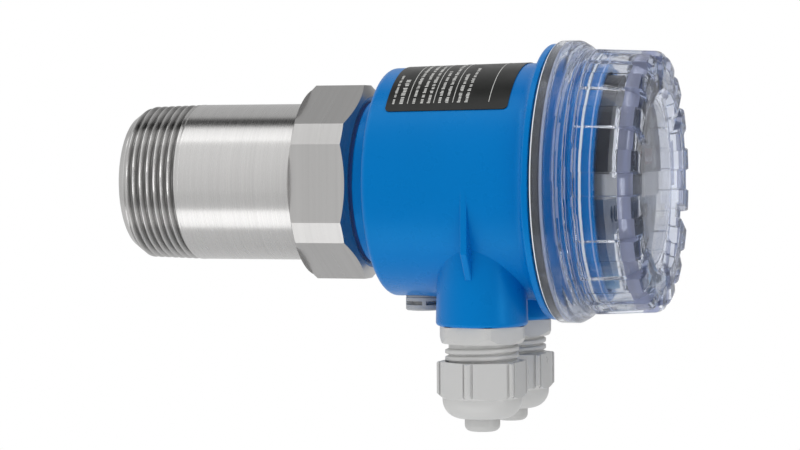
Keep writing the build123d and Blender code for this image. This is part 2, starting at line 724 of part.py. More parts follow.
def notch_pad(angle):
    """Thicker patch inside the front corner, behind a deep notch."""
    front = COVER_INNER_STATION
    back = front - PAD_THICKNESS
    share = (COVER_INNER_STATION - back) / (COVER_INNER_STATION - COVER_BORE_END)
    wall = COVER_INNER_RADIUS + share * (COVER_BORE_RADIUS - COVER_INNER_RADIUS)
    outline = Polygon(
        (back, wall - PAD_WIDTH),
        (front + 0.5, wall - PAD_WIDTH),
        (front + 0.5, wall + 0.5),
        (back, wall + 0.5),
        align=None,
    )
    sector = revolve(Plane.XZ * outline, Axis.X, PAD_ANGLE)
    middle = sector.bounding_box().center()
    own_angle = math.degrees(math.atan2(middle.Z, middle.Y))
    return Rot(angle - own_angle, 0, 0) * sector


def cover():
    blank = cover_blank()
    step = 360 / LUG_COUNT
    for index in range(LUG_COUNT):
        angle = NOTCH_PHASE + index * step
        deep = index % NOTCH_EVERY == 0
        blank -= recess_cutter(angle, deep)
        if deep:
            blank += notch_pad(angle)
    return blank


def cover_seal():
    inner = LAND_RADIUS + SEAL_INNER_GAP
    outer = POCKET_RADIUS - SEAL_OUTER_GAP
    start = FLANGE_FRONT + 0.05
    end = POCKET_END - SEAL_END_GAP
    return turned(
        (start, inner, 0.2),
        (start, outer, SEAL_ROUNDING),
        (end, outer, SEAL_ROUNDING),
        (end, inner, 0.2),
    )


def half_disc(start, end, radius, z_low, z_high):
    """Slice of a round bar about the axis, between two heights."""
    return rod(start, end, radius) & block(start, end, -radius, radius, z_low, z_high)


def insert_radius():
    return CAVITY_RADIUS - INSERT_GAP


def mounting_bridge():
    radius = insert_radius()
    plate_end = PILLAR_END + PLATE_THICKNESS
    plate = half_disc(PILLAR_END, plate_end, radius, PLATE_BOTTOM, radius)
    beam = half_disc(PILLAR_END, BRIDGE_FRONT, radius, BRIDGE_BOTTOM, BRIDGE_TOP)
    bridge = plate + beam
    for y, z in pillar_places():
        bridge -= rod(PILLAR_END, plate_end, INSERT_SCREW_RADIUS + FIT, y, z)
    return bridge


def control_module():
    """Dark upper half of the insert, hollow behind, with the holes for keys, lamps and switches."""
    radius = insert_radius()
    back = PILLAR_END + PLATE_THICKNESS
    top_screw = pillar_places()[0]
    case = half_disc(back, MODULE_FRONT, radius, BRIDGE_TOP, radius)
    room = radius - INSERT_WALL
    case -= half_disc(back, MODULE_FRONT - INSERT_WALL, room, BRIDGE_TOP + INSERT_WALL, radius)
    relief = INSERT_SCREW_HEAD_RADIUS + 2 * FIT
    case -= rod(back, back + INSERT_SCREW_HEAD + 1, relief, *top_screw)
    for y in button_places():
        case -= rod(MODULE_FRONT - INSERT_WALL, MODULE_FRONT, BUTTON_STEM_RADIUS + BUTTON_GAP, y, BUTTON_Z)
        well = MODULE_FRONT + BUTTON_PROUD - BUTTON_HEAD - BUTTON_TRAVEL - BUTTON_GAP
        case -= rod(well, MODULE_FRONT, BUTTON_RADIUS + BUTTON_GAP, y, BUTTON_Z)
    for y in lamp_places():
        case -= rod(MODULE_FRONT - INSERT_WALL, MODULE_FRONT, LAMP_RADIUS, y, LAMP_Z)
    half_width = dip_half_width()
    case -= block(
        MODULE_FRONT - INSERT_WALL,
        MODULE_FRONT,
        -half_width,
        half_width,
        DIP_Z - DIP_HEIGHT / 2,
        DIP_Z + DIP_HEIGHT / 2,
    )
    return case


def button_places():
    first = -BUTTON_SPACING * (BUTTON_COUNT - 1) / 2
    return [first + BUTTON_SPACING * index for index in range(BUTTON_COUNT)]


def lamp_places():
    first = -LAMP_SPACING * (LAMP_COUNT - 1) / 2
    return [first + LAMP_SPACING * index for index in range(LAMP_COUNT)]


def dip_places():
    first = -DIP_PITCH * (DIP_COUNT - 1) / 2
    return [first + DIP_PITCH * index for index in range(DIP_COUNT)]


def dip_half_width():
    return DIP_PITCH * DIP_COUNT / 2 + 0.4


def push_button(y):
    front = MODULE_FRONT + BUTTON_PROUD
    head = rod(front - BUTTON_HEAD, front, BUTTON_RADIUS, y, BUTTON_Z)
    head = fillet(head.faces().sort_by(Axis.X)[-1].edges(), 0.4)
    foot = SIGNAL_BOARD_BACK + BOARD_THICKNESS + BUTTON_TRAVEL + BUTTON_GAP
    return head + rod(foot, front - BUTTON_HEAD, BUTTON_STEM_RADIUS, y, BUTTON_Z)


def lamp_bar():
    back = MODULE_FRONT - INSERT_WALL
    strip_half = LAMP_SPACING * LAMP_COUNT / 2
    strip_tall = LAMP_RADIUS + 0.6
    strip = block(back - 1.2, back, -strip_half, strip_half, LAMP_Z - strip_tall, LAMP_Z + strip_tall)
    for y in lamp_places():
        lens = rod(back, MODULE_FRONT + 0.2, LAMP_RADIUS - FIT / 2, y, LAMP_Z)
        strip += lens
    return strip


def dip_switch():
    half_width = dip_half_width() - FIT
    front = MODULE_FRONT - DIP_RECESS
    back = SIGNAL_BOARD_BACK + BOARD_THICKNESS
    low = DIP_Z - DIP_HEIGHT / 2 + FIT
    high = DIP_Z + DIP_HEIGHT / 2 - FIT
    case = block(back, front, -half_width, half_width, low, high)
    for y in dip_places():
        case -= block(
            front - DIP_SLOT_DEPTH,
            front,
            y - DIP_SLOT_WIDTH / 2,
            y + DIP_SLOT_WIDTH / 2,
            DIP_Z - DIP_SLOT_HEIGHT / 2,
            DIP_Z + DIP_SLOT_HEIGHT / 2,
        )
    return case


def dip_slider(y):
    front = MODULE_FRONT - DIP_RECESS
    half = DIP_SLOT_WIDTH / 2 - DIP_GAP
    low = DIP_Z - DIP_SLOT_HEIGHT / 2 + DIP_GAP
    foot = front - DIP_SLOT_DEPTH + DIP_GAP
    return block(foot, front + 0.3, y - half, y + half, low, low + DIP_SLIDER_HEIGHT)


def signal_board():
    radius = insert_radius() - INSERT_WALL - 0.5
    low = BRIDGE_TOP + INSERT_WALL + 0.3
    start = SIGNAL_BOARD_BACK
    return half_disc(start, start + BOARD_THICKNESS, radius, low, radius)


def board_posts():
    """Two posts that stand on the bridge's plate and carry the signal board."""
    start = PILLAR_END + PLATE_THICKNESS
    posts = [rod(start, SIGNAL_BOARD_BACK, POST_RADIUS, side * POST_SIDE, POST_Z) for side in (-1, 1)]
    return Compound(posts)


def terminal_guard():
    """Blue guard over the terminals: a half skirt and a front plate with holes for the screwdriver."""
    radius = insert_radius()
    guard = half_disc(GUARD_BACK, GUARD_FRONT, radius, -radius, BRIDGE_BOTTOM)
    inner = radius - GUARD_WALL
    guard -= half_disc(GUARD_BACK, GUARD_FRONT - GUARD_WALL, inner, -radius, BRIDGE_BOTTOM)
    for y in terminal_places():
        guard -= rod(GUARD_FRONT - GUARD_WALL, GUARD_FRONT, ACCESS_HOLE_RADIUS, y, TERMINAL_SCREW_Z)
    relief = INSERT_SCREW_HEAD_RADIUS + 2 * FIT
    for y, z in pillar_places()[1:]:
        guard -= rod(GUARD_BACK, GUARD_BACK + 1, relief, y, z)
    return guard


def terminal_places():
    first = -TERMINAL_PITCH * (TERMINAL_COUNT - 1) / 2
    return [first + TERMINAL_PITCH * index for index in range(TERMINAL_COUNT)]


def terminal_block():
    half = TERMINAL_WIDTH / 2
    case = block(TERMINAL_BACK, TERMINAL_FRONT, -half, half, TERMINAL_BOTTOM, BRIDGE_BOTTOM)
    entry = TERMINAL_ENTRY / 2
    middle = TERMINAL_FRONT - TERMINAL_ENTRY_SETBACK
    entry_top = TERMINAL_BOTTOM + TERMINAL_ENTRY_DEPTH
    well = TERMINAL_FRONT - TERMINAL_SCREW_WELL
    for y in terminal_places():
        case -= rod(well, TERMINAL_FRONT, TERMINAL_SCREW_RADIUS + FIT, y, TERMINAL_SCREW_Z)
        case -= block(middle - entry, middle + entry, y - entry, y + entry, TERMINAL_BOTTOM, entry_top)
    return case


def slotted_head(start, end, radius, y, z):
    head = rod(start, end, radius, y, z)
    half = SCREW_SLOT_WIDTH / 2
    return head - block(end - SCREW_SLOT_DEPTH, end, y - radius, y + radius, z - half, z + half)


def terminal_screws():
    screws = []
    start = TERMINAL_FRONT - TERMINAL_SCREW_WELL
    end = TERMINAL_FRONT - TERMINAL_SCREW_SUNK
    for y in terminal_places():
        screws.append(slotted_head(start, end, TERMINAL_SCREW_RADIUS, y, TERMINAL_SCREW_Z))
    return Compound(screws)


def insert_screws():
    screws = []
    head_start = PILLAR_END + PLATE_THICKNESS
    for y, z in pillar_places():
        head = slotted_head(head_start, head_start + INSERT_SCREW_HEAD, INSERT_SCREW_HEAD_RADIUS, y, z)
        shank = rod(PILLAR_END - INSERT_SCREW_LENGTH, head_start, INSERT_SCREW_RADIUS, y, z)
        screws.append(head + shank)
    return Compound(screws)


def power_board():
    start = SPIGOT_END + MODULE_PLUG_LENGTH
    board = rod(start, start + BOARD_THICKNESS, POWER_BOARD_RADIUS)
    part_start = start + BOARD_THICKNESS
    height, width, depth = TRANSFORMER_SIZE
    y, z = TRANSFORMER_PLACE
    part_end = part_start + height
    board += block(part_start, part_end, y - width / 2, y + width / 2, z - depth / 2, z + depth / 2)
    for place in CAPACITOR_PLACES:
        board += rod(part_start, part_start + CAPACITOR_LENGTH, CAPACITOR_RADIUS, *place)
    return board


def gland_body(y, turn):
    seat = BOSS_BOTTOM - GLAND_SEAT_GAP
    sketch = hexagon(GLAND_HEX, turn) & Circle(GLAND_HEX_TURNED)
    nut_part = extrude(Plane.XY.offset(GLAND_HEX_BOTTOM) * sketch, seat - GLAND_HEX_BOTTOM)
    rounding = turned_down(
        0,
        0,
        (0, seat, 0),
        (GLAND_HEX_TURNED + 1, seat, 0),
        (GLAND_HEX_TURNED + 1, GLAND_HEX_BOTTOM + 2 * GLAND_HEX_CHAMFER_RISE, 0),
        (GLAND_HEX_TURNED, GLAND_HEX_BOTTOM + GLAND_HEX_CHAMFER_RISE, 0),
        (GLAND_HEX_TURNED - GLAND_HEX_CHAMFER, GLAND_HEX_BOTTOM, 0),
        (0, GLAND_HEX_BOTTOM, 0),
    )
    body = nut_part & rounding
    body += upright_bar(0, 0, GLAND_SPIGOT_RADIUS, seat, GLAND_SPIGOT_TOP)
    body += upright_bar(0, 0, GLAND_TUBE_RADIUS, GLAND_TUBE_BOTTOM, GLAND_HEX_BOTTOM)
    body -= upright_bar(0, 0, GLAND_PASSAGE_RADIUS, GLAND_TUBE_BOTTOM - 1, GLAND_SPIGOT_TOP + 1)
    body -= upright_bar(0, 0, GLAND_SOCKET_RADIUS, GLAND_TUBE_BOTTOM - 1, GLAND_SOCKET_TOP)
    ring_room = upright_bar(0, 0, GLAND_RING_RADIUS, seat - GLAND_RING_HEIGHT, seat)
    ring_room -= upright_bar(0, 0, GLAND_SPIGOT_RADIUS, seat - GLAND_RING_HEIGHT, seat)
    body -= ring_room
    return Pos(GLAND_STATION, y, 0) * body


def gland_ring(y):
    seat = BOSS_BOTTOM - GLAND_SEAT_GAP
    return turned_down(
        GLAND_STATION,
        y,
        (GLAND_BORE_RADIUS + FIT, BOSS_BOTTOM, 0),
        (GLAND_RING_RADIUS - FIT, BOSS_BOTTOM, 0.3),
        (GLAND_RING_RADIUS - FIT, seat - GLAND_RING_HEIGHT, 0.3),
        (GLAND_BORE_RADIUS + FIT, seat - GLAND_RING_HEIGHT, 0),
    )


def gland_sleeve(y):
    """Soft sealing sleeve that the cap nut squeezes round the cable or plug."""
    outer = GLAND_SOCKET_RADIUS - 3 * FIT
    return turned_down(
        GLAND_STATION,
        y,
        (PLUG_RADIUS, GLAND_SOCKET_TOP - FIT, 0),
        (outer, GLAND_SOCKET_TOP - FIT, 0),
        (outer, SLEEVE_BOTTOM + SLEEVE_TAPER, 0.3),
        (outer - SLEEVE_TAPER / 2, SLEEVE_BOTTOM, 0.3),
        (PLUG_RADIUS, SLEEVE_BOTTOM, 0),
    )


def gland_nut(y, turn):
    sketch = hexagon(GLAND_HEX, 30) & Circle(NUT_TURNED_RADIUS)
    half_flat = GLAND_HEX / 2 / math.sqrt(3)
    groove_place = half_flat - NUT_RIB_HALF - NUT_GROOVE_WIDTH / 2
    for index in range(6):
        for side in (-1, 1):
            mark = Pos(GLAND_HEX / 2, side * groove_place) * Rectangle(2 * NUT_GROOVE_DEPTH, NUT_GROOVE_WIDTH)
            sketch -= Rot(0, 0, 60 * index) * mark
    nut = extrude(Plane.XY.offset(NUT_BOTTOM) * Rot(0, 0, turn) * sketch, NUT_TOP - NUT_BOTTOM)
    envelope = turned_down(
        0,
        0,
        (0, NUT_TOP, 0),
        (NUT_TURNED_RADIUS - 0.4, NUT_TOP, 0),
        (NUT_TURNED_RADIUS + 0.6, NUT_TOP - 1.0, 0),
        (NUT_TURNED_RADIUS + 0.6, NUT_BOTTOM + NUT_CHAMFER_RISE, 0),
        (DOME_RADIUS, NUT_BOTTOM, 0),
        (0, NUT_BOTTOM, 0),
    )
    nut &= envelope
    nut += turned_down(
        0,
        0,
        (0, NUT_BOTTOM, 0),
        (DOME_RADIUS, NUT_BOTTOM, 0),
        (DOME_RADIUS, DOME_BOTTOM, DOME_ROUNDING),
        (0, DOME_BOTTOM, 0),
    )
    nut -= turned_down(
        0,
        0,
        (0, NUT_TOP + 1, 0),
        (NUT_BORE_RADIUS, NUT_TOP + 1, 0),
        (NUT_BORE_RADIUS, NUT_BORE_BOTTOM, 0),
        (GLAND_SOCKET_RADIUS, NUT_BORE_BOTTOM, 0),
        (NUT_CONE_RADIUS, NUT_CONE_BOTTOM, 0),
        (NUT_HOLE_RADIUS, NUT_CONE_BOTTOM, 0),
        (NUT_HOLE_RADIUS, DOME_BOTTOM - 1, 0),
        (0, DOME_BOTTOM - 1, 0),
    )
    return Pos(GLAND_STATION, y, 0) * nut


def blind_plug(y):
    return turned_down(
        GLAND_STATION,
        y,
        (0, PLUG_TOP, 0),
        (PLUG_RADIUS, PLUG_TOP, 0.8),
        (PLUG_RADIUS, PLUG_BOTTOM, PLUG_ROUNDING),
        (0, PLUG_BOTTOM, 0),
    )


def save(name, shape):
    """Move a piece from stations to the part's frame, with the gauge plane at zero, and write it."""
    export_step(Pos(-GAUGE_LENGTH, 0, 0) * shape, f"parts/{name}.step")


def main():
    os.makedirs("parts", exist_ok=True)
    save("process_connection", process_connection())
    save("antenna_window", antenna_window())
    save("window_seal", window_seal())
    save("horn_antenna", horn_antenna())
    save("microwave_module", microwave_module())
    save("neck_seal", neck_seal())
    save("housing", housing())
    save("lock_nut", lock_nut())
    save("nameplate", nameplate())
    save("vent_plug", vent_plug())
    save("vent_seal", vent_seal())
    save("cover", cover())
    save("cover_seal", cover_seal())
    save("mounting_bridge", mounting_bridge())
    save("control_module", control_module())
    save("signal_board", signal_board())
    save("board_posts", board_posts())
    save("power_board", power_board())
    save("terminal_guard", terminal_guard())
    save("terminal_block", terminal_block())
    save("terminal_screws", terminal_screws())
    save("insert_screws", insert_screws())
    save("lamp_bar", lamp_bar())
    save("dip_switch", dip_switch())
    for number, y in enumerate(button_places(), start=1):
        save(f"push_button_{number}", push_button(y))
    for number, y in enumerate(dip_places(), start=1):
        save(f"dip_slider_{number}", dip_slider(y))
    for name, side in (("near", -1), ("far", 1)):
        y = side * GLAND_SPREAD
        body_turn, nut_turn = GLAND_TURNS[side]
        save(f"gland_body_{name}", gland_body(y, body_turn))
        save(f"gland_ring_{name}", gland_ring(y))
        save(f"gland_sleeve_{name}", gland_sleeve(y))
        save(f"gland_nut_{name}", gland_nut(y, nut_turn))
        save(f"blind_plug_{name}", blind_plug(y))


main()
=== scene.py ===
import math
import random

import bmesh
import bpy
from mathutils import Matrix, Vector

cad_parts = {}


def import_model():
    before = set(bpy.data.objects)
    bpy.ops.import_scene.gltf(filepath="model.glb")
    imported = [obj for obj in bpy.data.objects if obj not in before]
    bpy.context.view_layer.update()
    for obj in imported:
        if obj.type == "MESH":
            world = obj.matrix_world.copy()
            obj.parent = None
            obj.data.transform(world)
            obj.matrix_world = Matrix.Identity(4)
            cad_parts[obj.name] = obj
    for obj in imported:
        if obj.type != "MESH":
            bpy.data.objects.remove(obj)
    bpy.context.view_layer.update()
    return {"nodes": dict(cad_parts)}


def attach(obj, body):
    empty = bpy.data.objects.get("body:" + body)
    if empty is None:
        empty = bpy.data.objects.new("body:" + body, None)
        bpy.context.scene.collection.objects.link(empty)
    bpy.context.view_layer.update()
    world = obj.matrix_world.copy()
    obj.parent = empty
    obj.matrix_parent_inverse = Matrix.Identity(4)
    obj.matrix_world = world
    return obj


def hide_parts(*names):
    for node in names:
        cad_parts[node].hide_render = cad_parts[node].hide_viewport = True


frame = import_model()
nodes = frame["nodes"]

# Sizes are in millimetres and turn into metres when a mesh is made.
# A station runs from the thread's tip along the sensor, and the frame's origin lies at the gauge plane.
# A profile is a row of (station, radius) points, and its corners also carry the radius of their rounding.
MM = 0.001
GAUGE = 12.7
FULL_TURN = 2 * math.pi
ROUND_STEPS = 288
SLACK = 0.01
WELD_METRES = 1e-7

# Process connection: tapered thread with a lead-in chamfer, shank, hexagon and the bores inside
TAPER = 1 / 32
GAUGE_RADIUS = 23.9
TIP_RADIUS = 20.7
TIP_EDGE = 0.15
CHAMFER_LENGTH = 4.4
TIP_SLOPE = (GAUGE_RADIUS - TIP_RADIUS) / CHAMFER_LENGTH
THREAD_START = 0.1
THREAD_END = 20.9
THREAD_PITCH = 2.309
THREAD_DEPTH = 1.479
THREAD_ROUNDING = 0.18
THREAD_STEPS = 130
RUN_OUT = (THREAD_END - 2.0, THREAD_END - 0.3)
SHANK_START = THREAD_END + 0.1
SHANK_RADIUS = 24.1
HEX_START = 58.3
HEX_END = 76.3
HEX_FLAT = 27.5
HEX_CORNER = 29.7
HEX_FACETS = 12
FACET_TURN = FULL_TURN / HEX_FACETS
# Where each end's chamfer starts and how steep it is
HEX_FRONT = (28.9, 0.58)
HEX_REAR = (26.3, 0.55)
SPIGOT_RADIUS = 20.0
SPIGOT_END = 92.0
WINDOW_SEAT = 18.0
WINDOW_SEAT_DEPTH = 7.0
HORN_SEAT = 16.2
HORN_SEAT_END = 62.0
MODULE_BORE = 13.0

# Ridges of the collar's and the glands' threads, with half their widths at the foot and at the top
COLLAR_PITCH = 3.1
COLLAR_THREAD = {
    "root": 34.9, "crest": 36.2, "pitch": COLLAR_PITCH, "start": 140.7, "end": 150.0,
    "half_foot": 1.15, "half_top": 0.45,
}
GLAND_THREAD = {
    "root": 10.0, "crest": 11.05, "pitch": 2.08, "start": -60.5, "end": -47.7,
    "half_foot": 0.92, "half_top": 0.5,
}
GLAND_STATION = 114.95
GLAND_SPREAD = 16.3
RIDGE_STEPS = 96
RIDGE_FADE = 0.04
RIDGE_SINK = 0.15
RIDGE_EDGE_DROP = 0.12
RIDGE_EDGE_REACH = 1.15
RIDGE_FLAT_REACH = 0.75

# Clear screw cover: rim, lugs, recesses and deep notches outside
COVER_BACK = 136.2
COVER_FRONT = 167.0
RIM_RADIUS = 42.4
POCKET_RADIUS = 40.7
LUG_START = 147.8
BAND_RADIUS = 39.68
LUG_TOP = 38.85
RECESS_STEP = LUG_START + 0.12
RECESS_RADIUS = 38.75
LUG_COUNT = 18
LUG_HALF = math.radians(5.0)
LUG_FLANK = math.radians(0.55)
NOTCH_PHASE = math.radians(-20)
NOTCH_EVERY = 3
NOTCH_FLOOR = 165.22
FACE_EDGE_RADIUS = 29.6
FACE_RADIUS = 27.8
NOTCH_FACE_RADIUS = 26.36
PANE_STATION = 163.5
PANE_RADIUS = 25.0
PANE_RINGS = (20.0, 10.0, 0.0)
OUTSIDE_POINTS = 50
RIM_CORNERS = (
    (COVER_BACK, POCKET_RADIUS, 0), (COVER_BACK, RIM_RADIUS, 0.6), (141.9, RIM_RADIUS, 2.5),
    (144.0, 41.1, 1.5), (145.1, 39.95, 0.8), (145.9, 39.74, 0), (LUG_START, BAND_RADIUS, 0),
)
LUG_CORNERS = (
    (LUG_START, BAND_RADIUS, 0), (COVER_FRONT, LUG_TOP, 2.6), (COVER_FRONT, FACE_EDGE_RADIUS, 0),
)
RECESS_CORNERS = (
    (LUG_START, BAND_RADIUS, 0), (RECESS_STEP, RECESS_RADIUS, 0.05), (162.0, 37.9, 6), (165.2, 36.2, 4),
    (COVER_FRONT, 33.0, 3), (COVER_FRONT, FACE_EDGE_RADIUS, 0),
)
NOTCH_CORNERS = (
    (LUG_START, BAND_RADIUS, 0), (RECESS_STEP, RECESS_RADIUS, 0.05), (162.0, 37.9, 5), (165.2, 35.4, 3),
    (NOTCH_FLOOR, FACE_EDGE_RADIUS, 0),
)
PANE_CORNERS = ((PANE_STATION, PANE_RADIUS, 0.4), (PANE_STATION, PANE_RADIUS - 1, 0))
FACE_CORNERS = ((COVER_FRONT, FACE_EDGE_RADIUS, 0), (COVER_FRONT, FACE_RADIUS, 0.4), *PANE_CORNERS)
CUT_CORNERS = ((NOTCH_FLOOR, FACE_EDGE_RADIUS, 0), (165.2, NOTCH_FACE_RADIUS, 0.3), *PANE_CORNERS)

# The cover's inner face with its step, the pads behind the deep notches, and the wall down to the bore
# The rings at 12 and 27.4 keep the shading of the flat face even.
INNER_STATION = 160.8
STEP_STATION = INNER_STATION + 0.7
INNER_FACE = (
    (INNER_STATION, 0.0), (INNER_STATION, 12.0), (INNER_STATION, 27.4), (INNER_STATION, 28.0),
    (STEP_STATION, 28.9), (STEP_STATION, 30.9),
)
INNER_CORNER = (STEP_STATION, 35.15, 1.6)
PAD_PROFILE = (
    (STEP_STATION, 31.9), (160.7, 32.05), (159.7, 32.15), (159.5, 32.4), (159.5, 34.7), (159.4, 35.3),
    (159.1, 35.54),
)
BORE_RADIUS = 36.95
INNER_WALL = ((158.0, 35.77), (153.0, 36.75), (152.6, BORE_RADIUS))
PAD_HALF = math.radians(17.0)
PAD_FLANK = math.radians(0.5)

# The cover's bore with its own thread, and the pocket that holds the seal
BORE_START = 140.4
BORE_END = 152.5
BORE_RIDGE = 0.45
BORE_WAVE = (0.45, 0.9)
BORE_LEAD_IN = (BORE_START, 141.6)
BORE_LEAD_OUT = (149.6, 150.8)
BORE_STEPS = 48
POCKET_CORNERS = ((140.0, BORE_RADIUS, 0), (139.6, 37.2, 0), (139.6, POCKET_RADIUS, 0.8))

# Bands of the cover with painted light: soft painted highlights on the thread flanks and some edges, bright
# painted highlights on other edges, and painted shade on the thick front wall
FLANK_END = 149.4
FLANK_PHASES = ((0.0, 0.16), (0.36, 0.48))
CREST_LINE = (149.55, 150.2)
BACK_EDGE = (COVER_BACK + 0.5, RIM_RADIUS - 0.45)
BORE_EDGE = (152.6, 153.0)
BORE_EDGE_RADIUS = (36.7, 37.0)
POCKET_CORNER = (138.6, 139.7)
POCKET_CORNER_RADIUS = 39.8
# Painted shade on the thick front wall: between these stations and outside this radius
THICK_BAND = (161.0, 165.3)
THICK_RADIUS = 35.4
CLEAR_FACE, SOFT_HIGHLIGHT_FACE, BRIGHT_HIGHLIGHT_FACE, THICK_SHADE_FACE = range(4)

# Soft ring behind the cover's rim
SEAL_INNER_RADIUS = 36.6
SEAL_SHOULDER_RADIUS = 39.3
SEAL_ROUNDING = 0.89
SEAL_STATIONS = (136.35, 138.2)
SEAL_STEPS = 6

# Nameplate with rows of plain marks; angles are in degrees round from the near side
BACK_STATION = 82.7
BACK_RADIUS = 34.75
FLANGE_BACK = 133.2
BODY_END_RADIUS = 35.9
LABEL_THICKNESS = 0.27
PRINT_HEIGHT = 0.04
PRINT_START = 42.0
PRINT_STOP = 138
PATCH_STEP = 1.5
RULE_STATIONS = (95.1, 103.2, 109.1, 120.2)
RULE_HALF = 0.1
# Station, height and last angle of each row of marks
MARK_ROWS = (
    (90.6, 0.8, 66), (93.0, 1.3, 62), (96.9, 1.0, 88), (99.4, 1.0, 86), (101.6, 1.0, 80),
    (104.9, 1.0, 70), (107.2, 1.0, 92), (110.9, 1.0, 66), (113.2, 1.0, 74),
)
MARKS_TOGETHER = (2, 7)
MARK_WIDTH = (0.45, 0.85)
MARK_TOPS = (0.3, 0.3, 0.5)
MARK_GAP = 0.35
GROUP_GAP = (0.7, 1.2)
MARK_SEED = 7

# Camera of the photograph, with its place in metres, its turns in degrees and its focal length in pixels
EYE = Vector((0.317639, -0.790201, 0.015692))
YAW = math.radians(17.284)
PITCH = math.radians(-2.003)
ROLL = math.radians(-0.346)
FOCAL_PIXELS = 2698.886
IMAGE_WIDTH = 800
SENSOR_WIDTH = 36.0
CLIP_START = 0.01
CLIP_END = 50

# Floor, in metres
FLOOR_HEIGHT = -0.2
FLOOR_RADIUS = 0.95
FLOOR_FADE = (0.25, 0.8)
FLOOR_CENTRE = (0.07, 0.0)
FLOOR_STEPS = 96
FLOOR_SHADE = 0.88
FLOOR_GLOSS = 0.8

# Levels of the surroundings, where 1 is white, and the spans of direction over which they change.
# A direction has a share across along X, a depth along Y and a height along Z, each from -1 to 1.
SKY_DIFFUSE = 0.73
GLOSS_LOW = 0.84
GLOSS_HIGH = 1.0
GLOSS_HEIGHT = (-0.3, 0.85)
GLOSS_TOP = 0.35
TOP_HEIGHT = (0.8, 0.9)
GLOSS_BACK = 0.6
BACK_DEPTH = (0.0, 0.16)
GLOSS_GAP = 0.0
GAP_DEPTH_IN = (0.0, 0.1)
GAP_DEPTH_OUT = (0.26, 0.36)
GAP_HEIGHT = (0.5, 0.8)
GLOSS_SIDE = 0.25
SIDE_ACROSS = (0.05, 0.2)
SIDE_DEPTH = (0.7, 0.85)
GLOSS_STRIP = 4.0
STRIP_ACROSS_IN = (0.8, 0.88)
STRIP_ACROSS_OUT = (0.95, 0.99)
STRIP_DEPTH = (-0.3, -0.15)

# Waves per metre of the finishes, and how far their bumps stand out, in metres
BROAD_WAVES = 25
GLOSS_WAVES = 180
GRAIN_WAVES = 2500
RUBBER_TONE_WAVES = 90
RUBBER_GRAIN_WAVES = 1800
FLOW_WAVES = 60
RING_WAVES = (5000, 12, 12)
TONE_WAVES = (900, 9, 9)
GRAIN_HEIGHT = 0.00002
RUBBER_GRAIN_HEIGHT = 0.00003
RING_HEIGHT = 0.00001
FLOW_HEIGHT = 0.0002

# How far gloss and tone stray from a finish's own, and what clear plastic lets past in a shadow
GLOSS_SPREAD = 0.05
TURNED_SPREAD = (0.03, 0.04)
TURNED_TONES = (0.96, 1.03)
RUBBER_TONES = (0.7, 1.0)
SHADOW_ALPHA = 0.18
CLEAR_GLOSS_TINT = (0.4, 0.45, 0.6)

# Sockets of the mix node for colours and for plain values
COLOUR_A = 6
COLOUR_B = 7
COLOUR_RESULT = 2
VALUE_A = 2
VALUE_B = 3


# Geometry helpers


def at(station, radius, angle):
    """Point at a station, a radius and an angle that runs from +Y towards +Z."""
    return Vector(((station - GAUGE) * MM, radius * math.cos(angle) * MM, radius * math.sin(angle) * MM))


def station_of(point):
    return point.x / MM + GAUGE


def radius_of(point):
    return math.hypot(point.y, point.z) / MM


def smoothstep(low, high, value):
    share = min(max((value - low) / (high - low), 0.0), 1.0)
    return share * share * (3 - 2 * share)


def within(span, value):
    return span[0] < value < span[1]


def thread_phase(station, angle, pitch):
    """Turns of a thread that lie behind a place on it."""
    return (station - pitch * angle / FULL_TURN) / pitch


def arc(centre, radius, start, end, steps):
    """Profile along an arc, from one angle to another in degrees."""
    points = []
    for step in range(steps + 1):
        angle = math.radians(start + (end - start) * step / steps)
        points.append((centre[0] + radius * math.cos(angle), centre[1] + radius * math.sin(angle)))
    return points


def resample(points, count):
    """The same profile with a fixed number of evenly spread points."""
    lengths = [0.0]
    for first, second in zip(points, points[1:]):
        lengths.append(lengths[-1] + math.dist(first, second))
    result = []
    index = 0
    for step in range(count):
        target = lengths[-1] * step / (count - 1)
        while index < len(points) - 2 and lengths[index + 1] < target:
            index += 1
        span = lengths[index + 1] - lengths[index] or 1.0
        share = (target - lengths[index]) / span
        first, second = points[index], points[index + 1]
        result.append(tuple(a + (b - a) * share for a, b in zip(first, second)))
    return result


def rounded(corners, steps=6):
    """Profile through corners, each with its own rounding."""
    path = []
    for index, (station, radius, rounding) in enumerate(corners):
        if rounding == 0 or index in (0, len(corners) - 1):
            path.append((station, radius))
            continue
        here = Vector((station, radius))
        before = (Vector(corners[index - 1][:2]) - here).normalized()
        after = (Vector(corners[index + 1][:2]) - here).normalized()
        half = math.acos(max(-1.0, min(1.0, before.dot(after)))) / 2
        reach = rounding / math.tan(half)
        centre = here + (before + after).normalized() * (rounding / math.sin(half))
        first = here + before * reach
        last = here + after * reach
        for step in range(steps + 1):
            arm = (first - centre).lerp(last - centre, step / steps).normalized() * rounding
            path.append(tuple(centre + arm))
    return path


def turned_rows(profile, angles):
    """One ring of points for each point of a profile."""
    return [[at(station, radius, angle) for angle in angles] for station, radius in profile]


def blended_rows(angles, choose):
    """Rings of points between two profiles; the angle decides which two, and the share of the second."""
    choices = [choose(angle) for angle in angles]
    rows = []
    for index in range(len(choices[0][0])):
        row = []
        for angle, (first, second, share) in zip(angles, choices):
            station = first[index][0] * (1 - share) + second[index][0] * share
            radius = first[index][1] * (1 - share) + second[index][1] * share
            row.append(at(station, radius, angle))
        rows.append(row)
    return rows


def ring_mesh(name, rows):
    """Surface that closes round and along, from rows with one point per column."""
    count = len(rows[0])
    points = [point for row in rows for point in row]
    faces = []
    for row in range(len(rows)):
        below = row * count
        above = ((row + 1) % len(rows)) * count
        for column in range(count):
            after = (column + 1) % count
            faces.append((below + column, above + column, above + after, below + after))
    mesh = bpy.data.meshes.new(name)
    mesh.from_pydata(points, [], faces)
    mesh.update()
    return mesh


